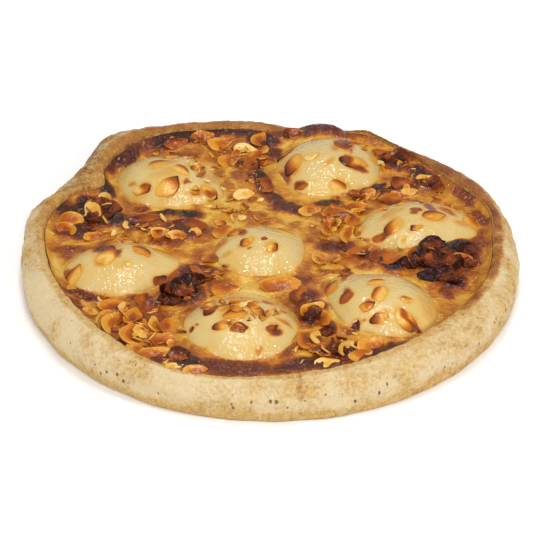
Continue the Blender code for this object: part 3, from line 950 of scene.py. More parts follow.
# Browned places on the pears: x, y, half-length, half-width, heading, depth
PEAR_STAINS: tuple[Row, ...] = (
    # back left
    (-56, 67, 10, 3.5, 10, 0.40), (-52, 78, 9, 5, 0, 0.42), (-52, 91, 8, 3, -15, 0.78),
    (-37, 88, 2.5, 2, 0, 0.8), (-26, 78, 3, 3, 0, 0.55), (-38, 46, 7, 3, 20, 0.38),
    (-31, 47, 4, 2.5, 10, 0.78), (-43, 52, 2, 1.5, 60, 0.7), (-66, 38, 2.5, 4, 0, 0.75),
    (-59, 36, 6, 3, 0, 0.42), (-30, 60, 4, 5, 10, 0.3), (-66, 50, 3, 2, -30, 0.8),
    (-71, 56, 3, 1.5, -50, 0.45), (-54, 58, 10, 6, 20, 0.24), (-40, 66, 6, 3, 20, 0.3),
    (-72, 84, 6, 2, 50, 0.5), (-48, 82, 14, 4, -5, 0.4),
    # back right
    (9, 90, 9, 4, 65, 0.62), (11, 70, 4, 8, 20, 0.45), (8, 66, 2, 8, 20, 0.7), (25, 105, 4, 2.5, 0, 0.62),
    (25, 97, 4, 3, 0, 0.4), (41, 90, 10, 4, 85, 0.86), (34, 82, 6, 2.5, 80, 0.42),
    (41, 70, 2.5, 6, 10, 0.85), (46, 66, 5, 2, 10, 0.8), (47, 72, 4, 4, 0, 0.42), (54, 78, 3, 3, 0, 0.3),
    (57, 97, 3, 5, 0, 0.55), (21, 73, 4, 3, 0, 0.26), (30, 68, 4, 2, 30, 0.36), (16, 56, 4, 2.3, -10, 0.85),
    (36, 54, 6, 2.5, 12, 0.36), (10, 106, 6, 4, 0, 0.6), (30, 108, 14, 3, -8, 0.66),
    (52, 58, 10, 2.5, 30, 0.6),
    # right
    (62, 22, 8, 4, 30, 0.32), (84, 18, 5, 4, 20, 0.42), (80, 27, 3, 6, 30, 0.72), (89, 25, 6, 3, -30, 0.62),
    (72, 19, 2.5, 1.8, 0, 0.75), (62, 11, 4, 7, -20, 0.42), (57, 5, 5, 2, 10, 0.75),
    (73, 7, 4, 2, 10, 0.45), (40, 13, 4, 6, 0, 0.62), (46, 5, 5, 2.5, -10, 0.6), (103, 26, 4, 8, -10, 0.62),
    (97, 16, 4, 3, 0, 0.35), (77, 45, 20, 1.3, 0, 0.5), (103, 36, 3, 6, 20, 0.4),
    # front right
    (65, -67, 2.2, 4, 25, 0.75), (69, -71, 4, 1.6, -20, 0.9), (67, -70, 2, 2, 0, 0.4),
    (54, -67, 4.5, 2.6, 15, 0.42), (78, -58, 8, 10, 0, 0.26), (40, -71, 4, 2.5, 55, 0.78),
    (45, -69, 2, 1.5, 0, 0.5), (47, -61, 3, 2.5, 60, 0.62), (53, -52, 5, 7, -10, 0.32),
    (50, -45, 4, 3, 30, 0.36), (66, -57, 2.3, 2.3, 0, 0.48), (38, -49, 2.5, 6, 8, 0.68),
    (31, -35, 4, 7, -10, 0.33), (28, -33, 1.5, 8, -5, 0.6), (37, -28, 2.2, 9, -8, 0.78),
    (72, -34, 5, 8, 40, 0.5), (48, -76, 8, 2, -15, 0.35),
    # front
    (-28, -66, 5, 3.5, 35, 0.58), (-19, -69, 6, 3, 0, 0.5), (-17, -74, 6, 3, 0, 0.42),
    (-11, -66, 5, 2.6, -20, 0.62), (-9, -61, 5, 1.8, 0, 0.85), (-15, -81, 5, 1.8, 5, 0.8),
    (-23, -79, 5, 2.2, 0, 0.52), (-5, -69, 7, 3, -30, 0.45), (1, -78, 3, 2.5, 0, 0.36),
    (2, -82, 4, 1.8, 42, 0.82), (-38, -76, 1.6, 2.2, 0, 0.66), (6, -74, 4, 2, -20, 0.5),
    (-28, -57, 2, 7, 10, 0.45), (-15, -56, 9, 4, 0, 0.42), (-33, -91, 2, 1.5, 0, 0.5),
    (-6, -93, 3, 1.5, 20, 0.4), (-1, -58, 3, 3, 0, 0.6), (4, -64, 4, 2, 30, 0.5),
    # centre
    (-18, 8, 5, 8, 10, 0.56), (-14, 3, 2.5, 5, 0, 0.72), (-13, -8, 3, 4, -30, 0.5),
    (-3, -6, 1.6, 1.4, 0, 0.72), (2, -13, 1.8, 2, 0, 0.62), (-10, -12, 1.5, 1.5, 0, 0.5),
    (6, 8, 8, 4, 0, 0.36), (-6, 14, 9, 4, 0, 0.45), (8, 16, 6, 3, -20, 0.5), (-26, -2, 4, 7, -30, 0.5),
    (-22, -12, 3, 2, 0, 0.3),
    # left
    (-85, -4, 4, 5, 0, 0.7), (-83, -10, 6, 5, 0, 0.95), (-76, -17, 3, 4, 0, 0.8),
    (-84, -24, 3.5, 4, 0, 0.42), (-98, -27, 4.5, 4.5, 0, 0.34), (-101, -22, 4, 2.5, -60, 0.62),
    (-66, -8, 4, 9, 20, 0.34), (-62, -15, 1.5, 5, 15, 0.55), (-73, -26, 5, 4, 0, 0.24),
    (-97, -3, 1.7, 1.5, 0, 0.62), (-57, 4, 11, 2.4, -15, 0.55), (-53, -31, 4, 3, 0, 0.52),
    (-70, 4, 9, 3, 10, 0.45), (-93, 4, 4, 1.5, 30, 0.4), (-75, -14, 1.5, 1.5, 0, 0.5),
)


@dataclass
class Filling:
    """The baked frangipane: its puffed ridges, caramel mounds, browning and flow round the pears."""

    case: Case
    edge: float = 15.8
    crown: float = 3.2
    wrinkles: Row = (0.7, 9.0, 0.0)
    lap: float = 0.4
    underside: float = 5.3
    steps: int = 280
    # How it draws up round the pears, and how far that and their juice reach, in mm
    fillet: float = 0.6
    fillet_reach: float = 2.2
    fillet_under: float = 0.9
    juice_reach: float = 1.3
    # How it climbs the wall
    climb: float = 0.8
    climb_reach: float = 2.6
    wall_fade: Row = (0.93, 1.0)
    # Browning
    tone: float = 0.38
    juice_tone: float = 0.14
    tone_patches: tuple[Row, ...] = ((0.28, 11.0, 3.0), (0.12, 4.5, 8.0))
    pale_tone: float = 0.08
    stain_depth: float = 1.04
    juice_rinse: float = 0.1
    # Relief of the crumb: a puffed, folded skin where it browned, sunk where it stayed pale
    crumb: tuple[Row, ...] = ((0.42, 4.4, 4.0), (0.22, 1.9, 5.0))
    crumb_least: float = 0.55
    folds: Row = (5.0, 7.0, 6.0)
    fold_height: float = 0.7
    skin_height: float = 0.5
    skin_fade: Row = (0.45, 0.75)
    pale_depth: float = 0.35
    pale_fade: Row = (0.35, 0.15)
    juice_smooths: float = 0.6
    edge_fade: Row = (1.0, 0.98)
    # Colour where it climbs the wall: angle, half-width, depth
    wall_tones: tuple[Row, ...] = (
        (180, 26, 0.14), (150, 14, 0.36), (118, 22, 0.46), (80, 26, 0.5), (40, 24, 0.42), (0, 22, 0.34),
        (-40, 22, 0.28), (-90, 30, 0.5), (-140, 24, 0.4),
    )
    # Mounds: x, y, half-width, rise
    mounds: tuple[Row, ...] = (
        (80, -10, 13, 5.0), (96, 0, 8, 3.5), (-42, -40, 11, 4.0), (-86, 34, 11, 3.5), (72, 78, 12, 4.0),
        (21, -60, 8, 3.0), (-39, -96, 12, 3.0), (-10, 68, 9, 3.0), (-54, 18, 13, 3.0), (27, 112, 17, 8.5),
        (-14, 113, 16, 4.5), (-48, 102, 14, 4.0), (55, -14, 12, 3.0), (32, 26, 12, 2.0),
        (-67, -70, 13, 1.5),
    )
    # Places left pale and creamy: x, y, half-length, half-width, heading, share
    pale_places: tuple[Row, ...] = (
        (-12, -44, 12, 12, 90, 0.95), (-2, -38, 10, 6, 0, 0.9), (40, -26, 13, 7, 0, 0.85),
        (62, -32, 14, 5, 10, 0.8), (-30, 30, 6, 8, 0, 0.8), (-60, 36, 6, 4, 0, 0.8),
        (-22, 44, 6, 9, 0, 0.85), (12, 28, 10, 5, -20, 0.6), (24, -8, 7, 5, 0, 0.7),
        (-50, 2, 14, 3, 0, 0.8), (-94, 8, 14, 3, 15, 0.7), (66, 50, 9, 4, 10, 0.8),
        (-106, -14, 4, 10, 6, 0.8), (-18, 22, 5, 7, 0, 0.7), (45, 40, 8, 5, 20, 0.6),
        (-20, 70, 4, 16, 0, 0.7), (62, 92, 4, 10, 20, 0.6), (34, -54, 5, 14, 0, 0.5),
    )
    # Browned places: x, y, half-length, half-width, heading, depth
    stains: tuple[Row, ...] = (
        # back left and left
        (-48, 104, 24, 8, 22, 0.86), (-20, 112, 20, 8, -4, 0.82), (-76, 84, 24, 3.5, 52, 0.74),
        (-85, 56, 10, 5, -65, 0.92), (-92, 40, 12, 10, 30, 0.92), (-84, 27, 12, 8, 0, 0.88),
        (-104, 36, 9, 8, 0, 0.8), (-99, 18, 13, 8, 0, 0.76), (-66, 25, 14, 7, 5, 0.74),
        (-66, 38, 5, 6, 0, 0.6), (-48, 31, 16, 5, 3, 0.92), (-44, 14, 16, 8, -5, 0.72),
        (-55, 19, 9, 6, 0, 0.5), (-52, 4, 14, 4, -8, 0.6), (-107, 10, 3, 9, 0, 0.42),
        (-88, 10, 16, 3, 14, 0.42),
        # middle and back
        (-12, 80, 7, 6, 0, 0.78), (-5, 62, 12, 6, -70, 0.86), (1, 48, 10, 6, -50, 0.72),
        (10, 37, 14, 6, -30, 0.72), (-15, 49, 8, 6, 0, 0.48), (-3, 104, 10, 9, 0, 0.84),
        (-22, 92, 9, 7, 0, 0.5), (24, 109, 28, 8, -4, 0.7), (-60, 96, 12, 6, 35, 0.5),
        (-16, 68, 5, 8, 30, 0.5), (25, 30, 10, 8, 0, 0.5), (30, 42, 8, 4, 0, 0.84), (36, 28, 5, 8, 0, 0.6),
        (24, 10, 3, 9, 0, 0.42), (-26, 26, 5, 12, -20, 0.3),
        # back right and right
        (65, 83, 13, 8, -50, 0.88), (80, 68, 15, 8, -50, 0.82), (99, 50, 13, 4, -60, 0.6),
        (107, 30, 12, 4, -75, 0.6), (53, 55, 16, 5, 22, 0.84), (70, 60, 10, 5, 0, 0.7),
        (104, 8, 8, 5, 90, 0.6), (48, -20, 8, 4, -15, 0.5), (33, 0, 12, 7, -20, 0.72),
        (24, -10, 6, 5, 0, 0.42), (53, -13, 15, 7, -28, 0.8), (62, -17, 8, 6, 0, 0.92),
        (85, -10, 17, 17, 0, 1.0), (97, -4, 10, 14, 0, 0.95), (90, -27, 9, 9, 0, 0.9),
        (86, -37, 6, 9, 20, 0.62), (88, -44, 3, 7, -15, 0.3),
        # between the centre, front and front right pears
        (14, -30, 10, 3.5, 10, 0.6), (17, -43, 7, 8, 0, 0.72), (20, -54, 9, 9, 0, 0.74),
        (20, -63, 8, 5, 0, 0.85), (28, -70, 4, 7, 30, 0.7), (16, -78, 6, 8, 0, 0.48),
        (26, -86, 9, 6, 0, 0.62), (36, -88, 13, 6, 20, 0.76), (37, -26, 4, 6, 0, 0.66),
        (28, -22, 6, 3, 0, 0.5), (-8, 30, 10, 5, 10, 0.46), (-34, 6, 7, 4, 0, 0.44),
        (12, 20, 6, 4, 40, 0.4), (28, -36, 5, 8, 0, 0.46), (56, 46, 9, 4, 10, 0.5),
        (-22, 60, 4, 10, 0, 0.42), (-66, 18, 10, 4, 0, 0.6), (2, 92, 6, 6, 0, 0.7),
        # front
        (19, -99, 27, 7, 9, 0.74), (-18, -102.5, 30, 9, -2, 0.66), (55, -88, 18, 5, 28, 0.76),
        (-39, -99, 11, 5, -25, 0.86),
        # front left
        (-92, -40, 16, 5, -22, 0.72), (-96, -50, 10, 5, -55, 0.6), (-76, -50, 14, 6, -10, 0.5),
        (-64, -44, 8, 4, 0, 0.62), (-43, -42, 10, 12, 20, 1.0), (-36, -24, 13, 10, 0, 0.72),
        (-26, -35, 11, 8, -50, 0.52), (-47, -24, 9, 5, 0, 0.45), (-41, -62, 4, 10, -20, 0.42),
        (-70, -70, 16, 16, -50, 0.46), (-58, -60, 14, 12, 0, 0.55), (-54, -92, 16, 6, -30, 0.7),
        (-44, -90, 6, 4, -40, 0.8),
    )

    def height(self, x: np.ndarray, y: np.ndarray) -> np.ndarray:
        """Gives the bare filling's height over plan places, as the solid has it.

        Args:
            x: places across in mm.
            y: places away from the viewer in mm.

        Returns:
            The height in mm.
        """
        angle = np.degrees(np.arctan2(y, x))
        share = np.minimum(np.hypot(x, y) / self.case.inner(angle), 1.0)
        z = self.edge + self.crown * (1.0 - share ** 2)
        for mound_x, mound_y, half_width, rise in self.mounds:
            z = z + rise * np.exp(-((x - mound_x) ** 2 + (y - mound_y) ** 2) / half_width ** 2)
        return z + layered(on_plan(x, y), self.wrinkles)

    def creep(self, x: np.ndarray, y: np.ndarray, level: np.ndarray, pears: Sequence[Pear]) -> Pair:
        """Gives how the filling draws up round the pears.

        Args:
            x: places across in mm.
            y: places away from the viewer in mm.
            level: the filling's height there.
            pears: the pears that it holds.

        Returns:
            The rise in mm, and a share from 0 to 1 of how near a pear is.
        """
        fruit = np.zeros_like(x)
        for pear in pears:
            fruit = np.maximum(fruit, pear.height(x, y))
        above = level - fruit
        rise = np.where(above > 0, np.exp(-above / self.fillet_reach), np.exp(above / self.fillet_under))
        return self.fillet * rise, np.exp(-np.abs(above) / self.juice_reach)

    def slab(self) -> bpy.types.Mesh:
        """Makes a closed square slab, 2 wide and 1 deep, with a fine grid on top.

        Returns:
            The slab's mesh, in bare units.
        """
        bm = bmesh.new()
        bmesh.ops.create_grid(bm, x_segments=self.steps, y_segments=self.steps, size=1.0)
        skirt = bmesh.ops.extrude_edge_only(bm, edges=[edge for edge in bm.edges if edge.is_boundary])
        low = [item for item in skirt["geom"] if isinstance(item, bmesh.types.BMVert)]
        bmesh.ops.translate(bm, verts=low, vec=(0, 0, -1.0))
        bmesh.ops.holes_fill(bm, edges=[edge for edge in bm.edges if edge.is_boundary], sides=0)
        bmesh.ops.recalc_face_normals(bm, faces=bm.faces)
        return to_mesh("baked_frangipane", bm, scale=1.0)

    def rounded(self, unit: np.ndarray) -> Pair:
        """Turns the slab's square outline into a round one.

        Args:
            unit: the slab's points.

        Returns:
            Each point's share of the radius and its turn in radians.
        """
        wide = np.abs(unit[:, 0]) >= np.abs(unit[:, 1])
        longer = np.where(wide, unit[:, 0], unit[:, 1])
        shorter = np.where(wide, unit[:, 1], unit[:, 0])
        ratio = np.divide(shorter, longer, out=np.zeros(len(unit)), where=np.abs(longer) > 0)
        turn = np.where(wide, ratio * math.pi / 4, math.pi / 2 - ratio * math.pi / 4)
        return np.abs(longer), turn + np.where(longer < 0, math.pi, 0.0)

    def browning(self, x: np.ndarray, y: np.ndarray, wall: np.ndarray, juicy: np.ndarray) -> np.ndarray:
        """Gives how deeply the top browned.

        Args:
            x: places across in mm.
            y: places away from the viewer in mm.
            wall: colour that the climb up the wall took.
            juicy: share of how near a pear is.

        Returns:
            The depth of colour from 0 to about 1.
        """
        toast = self.tone - self.juice_tone * juicy + layered(on_plan(x, y), *self.tone_patches)
        pale = stained(x, y, self.pale_places)
        toast = np.maximum(toast, wall) * (1.0 - pale) + self.pale_tone * pale
        scorched = self.stain_depth * stained(x, y, self.stains)
        return np.maximum(toast, scorched * (1.0 - self.juice_rinse * juicy))

    def crumb_relief(self, flat: np.ndarray, toast: np.ndarray) -> np.ndarray:
        """Gives the height of folds and crumb over the bare filling.

        Args:
            flat: plan points.
            toast: how deeply each browned.

        Returns:
            The height in mm.
        """
        skin = eased(toast, *self.skin_fade)
        relief = layered(flat, *self.crumb) * (self.crumb_least + skin)
        relief += (self.fold_height * creases(flat, *self.folds) + self.skin_height) * skin
        return relief - self.pale_depth * eased(toast, *self.pale_fade)

    def build(self, material: bpy.types.Material, pears: Sequence[Pear]) -> bpy.types.Object:
        """Models the filling as a closed disc with an uneven, browned top.

        Args:
            material: its finish.
            pears: the pears that it holds.

        Returns:
            The piece.
        """
        mesh = self.slab()
        unit = coordinates(mesh) * MM
        top = unit[:, 2] > -0.5
        share, turn = self.rounded(unit)
        angle = np.degrees(np.arctan2(np.sin(turn), np.cos(turn)))
        face = self.case.inner_face(angle, np.where(top, self.edge, self.underside))
        radius = share * (face + self.lap)
        x, y = radius * np.cos(turn), radius * np.sin(turn)
        spread = self.case.inner(angle) / face
        z = np.where(top, self.height(x * spread, y * spread), self.underside)
        creep, juicy = self.creep(x, y, z, pears)
        toast = self.browning(x, y, eased(share, *self.wall_fade) * swell(angle, self.wall_tones), juicy)
        relief = self.crumb_relief(on_plan(x, y), toast)
        relief *= (1.0 - self.juice_smooths * juicy) * eased(share, *self.edge_fade)
        lip = self.case.height(angle) - self.case.lip_drop
        from_wall = (1.0 - share) * self.case.inner_radius
        climb = self.climb * np.maximum(lip - z, 0.0) * np.exp(-from_wall / self.climb_reach)
        z = z + np.where(top, creep + relief + climb, 0.0)
        put_coordinates(mesh, np.column_stack((x, y, z)))
        put_attribute(mesh, "toast", toast)
        return finished("baked_frangipane", mesh, material, ("frangipane",))


class Toasting(Enum):
    """How a flake browned: depth at its heart, body and rim, and added on its darker side."""

    PALE = (0.16, 0.06, 0.0, 0.12)
    GOLD = (0.42, 0.22, -0.04, 0.3)
    AMBER = (0.42, 0.30, 0.06, 0.35)
    RINGED = (0.08, 0.14, 0.36, 0.6)
    BROWN = (0.44, 0.52, 0.3, 0.3)
    DARK = (0.90, 0.96, 0.70, 0.1)
    SOAKED = (0.14, 0.18, 0.14, 0.6)


PALE, GOLD, AMBER, RINGED, BROWN, DARK, SOAKED = Toasting
BakedFlake = tuple[float, float, float, float, float, Toasting]
LooseFlake = tuple[float, float, float, float, float, float, Toasting]


@dataclass
class Flakes:
    """Almond flakes or broken chips of them, joined into one piece."""

    name: str
    seed: int
    sides: int = 22
    rings: Row = (0.04, 0.05, 0.14, 0.13)
    thickness: float = 0.7
    # Share of the thickness that each side loses towards the rim
    edge_round: float = 0.16
    # Waves round the outline: their counts, depth and the spread of that depth
    waves: tuple[int, ...] = (2, 3, 4, 5)
    ragged: float = 0.07
    wave_spread: Row = (0.3, 1.2)
    # How much narrower a flake's pointed end is, and both its ends
    pointed: Row = (0.08, 0.4)
    blunt: float = 0.14
    # Radius shares at which heart, body, body and rim colours stand
    tone_places: Row = (0.25, 0.55, 0.80, 0.95)
    tone_spread: Row = (-0.08, 0.08)
    rim_spread: Row = (0.0, 0.1)
    rim_turn: float = 0.6
    rim_least: float = 0.2
    dark_start: float = 0.15
    # Curling: spread of the cross curl and of the twist, and how strongly they show
    cross_curl: Row = (-0.5, 0.7)
    cross_amount: float = 2.0
    twist: Row = (-0.6, 0.6)
    twist_amount: float = 1.4
    crinkle: float = 0.5
    crinkle_size: float = 3.5
    crinkle_shift: Row = (0.0, 900.0)
    sharp_edge: float = 50.0

    def __post_init__(self) -> None:
        """Starts the joined mesh, its browning layer and its random numbers."""
        self.bm = bmesh.new()
        self.layer = self.bm.verts.layers.float.new("toast")
        self.draw = random.Random(self.seed)

    def blank(self) -> tuple[list[bmesh.types.BMVert], set[bmesh.types.BMVert]]:
        """Makes a flat disc of two sides and a rim, 1 across and without thickness.

        Returns:
            All its vertices, and those of its upper side.
        """
        start = len(self.bm.verts)
        made = bmesh.ops.create_circle(self.bm, cap_ends=True, segments=self.sides, radius=0.5)
        face = made["verts"][0].link_faces[0]
        for ring in self.rings:
            bmesh.ops.inset_region(self.bm, faces=[face], thickness=ring, use_even_offset=True,
                                   use_boundary=True)
        self.bm.verts.ensure_lookup_table()
        faces = list({face for vert in self.bm.verts[start:] for face in vert.link_faces})
        raised = bmesh.ops.extrude_face_region(self.bm, geom=faces, use_keep_orig=True)
        upper = {item for item in raised["geom"] if isinstance(item, bmesh.types.BMVert)}
        self.bm.verts.ensure_lookup_table()
        return self.bm.verts[start:], upper

    def cut(self, length: float, width: float, toasting: Toasting,
            dark_side: float) -> list[bmesh.types.BMVert]:
        """Cuts one flat flake about the origin, longest along X, with its browning.

        Args:
            length: its length in mm.
            width: its width in mm.
            toasting: how it browned.
            dark_side: the direction in degrees in which it is darker.

        Returns:
            Its vertices, their Z from -0.5 to 0.5 of the thickness.
        """
        verts, upper = self.blank()
        side = math.radians(dark_side)
        waves = [(count, self.ragged * self.draw.uniform(*self.wave_spread) / math.sqrt(count),
                  self.draw.uniform(0.0, math.tau)) for count in self.waves]
        heart, body, rim, darker = toasting.value
        rim += self.draw.uniform(*self.rim_spread)
        overall = self.draw.uniform(*self.tone_spread)
        pointed = self.draw.uniform(*self.pointed)
        for vert in verts:
            x, y = vert.co.x * 2.0, vert.co.y * 2.0
            radial = min(math.hypot(x, y), 1.0)
            turn = math.atan2(y, x)
            reach = 1.0 + sum(depth * math.cos(count * turn + phase) for count, depth, phase in waves)
            facing = 0.5 + 0.5 * math.cos(turn - side + self.rim_turn)
            edge = body + (rim - body) * (self.rim_least + (1.0 - self.rim_least) * facing)
            tone = float(np.interp(radial, self.tone_places, (heart, body, body, edge)))
            lean = self.dark_start + (1.0 - self.dark_start) * (x * math.cos(side) + y * math.sin(side))
            vert[self.layer] = tone + overall + darker * max(0.0, lean)
            point = 1.0 - pointed * x - self.blunt * x * x
            level = 0.5 - self.edge_round * radial ** 4
            vert.co = (0.5 * length * x * reach, 0.5 * width * y * reach * point,
                       level if vert in upper else -level)
        faces = list({face for vert in verts for face in vert.link_faces})
        bmesh.ops.recalc_face_normals(self.bm, faces=faces)
        return verts

    def bend(self, verts: Sequence[bmesh.types.BMVert], length: float, curl: float, bow: float) -> None:
        """Curls a flake as it dried, and bows it in its own plane.

        Args:
            verts: the flat flake.
            length: its length in mm.
            curl: how far its ends lift in mm.
            bow: how far its ends shift sideways in mm.
        """
        across = self.cross_amount * self.draw.uniform(*self.cross_curl) * curl
        skew = self.twist_amount * self.draw.uniform(*self.twist) * curl
        shift = self.draw.uniform(*self.crinkle_shift)
        for vert in verts:
            along = 2.0 * vert.co.x / length
            side = 2.0 * vert.co.y / length
            crinkle = noise.noise(Vector((vert.co.x, vert.co.y, shift)) / self.crinkle_size)
            vert.co.z = self.thickness * vert.co.z + self.crinkle * crinkle
            vert.co.z += curl * along * along + across * side * side + skew * along * side
            vert.co.y += bow * along * along

    def place(self, verts: Sequence[bmesh.types.BMVert], heading: float, tilt: float,
              spot: tuple[float, float, float]) -> None:
        """Tips a flake about its length, turns it and sets it down.

        Args:
            verts: the flake.
            heading: direction of its length in degrees.
            tilt: how far it tips over in degrees.
            spot: where its middle comes.
        """
        turn = Matrix.Rotation(math.radians(heading), 3, "Z") @ Matrix.Rotation(math.radians(tilt), 3, "X")
        bmesh.ops.rotate(self.bm, verts=verts, cent=(0, 0, 0), matrix=turn)
        bmesh.ops.translate(self.bm, verts=verts, vec=spot)

    def finish(self, material: bpy.types.Material) -> bpy.types.Object:
        """Turns the joined flakes into a piece with crisp cut edges.

        Args:
            material: its finish.

        Returns:
            The piece.
        """
        mesh = to_mesh(self.name, self.bm)
        piece = finished(self.name, mesh, material)
        mesh.set_sharp_from_angle(angle=math.radians(self.sharp_edge))
        return piece


@dataclass(frozen=True)
class Litter:
    """A patch strewn with broken flakes: its middle, half-spreads, heading and what lies there."""

    x: float
    y: float
    along: float
    across: float
    heading: float
    count: int
    shortest: float
    longest: float
    tones: tuple[Toasting, ...]
    steepest: float = 30.0


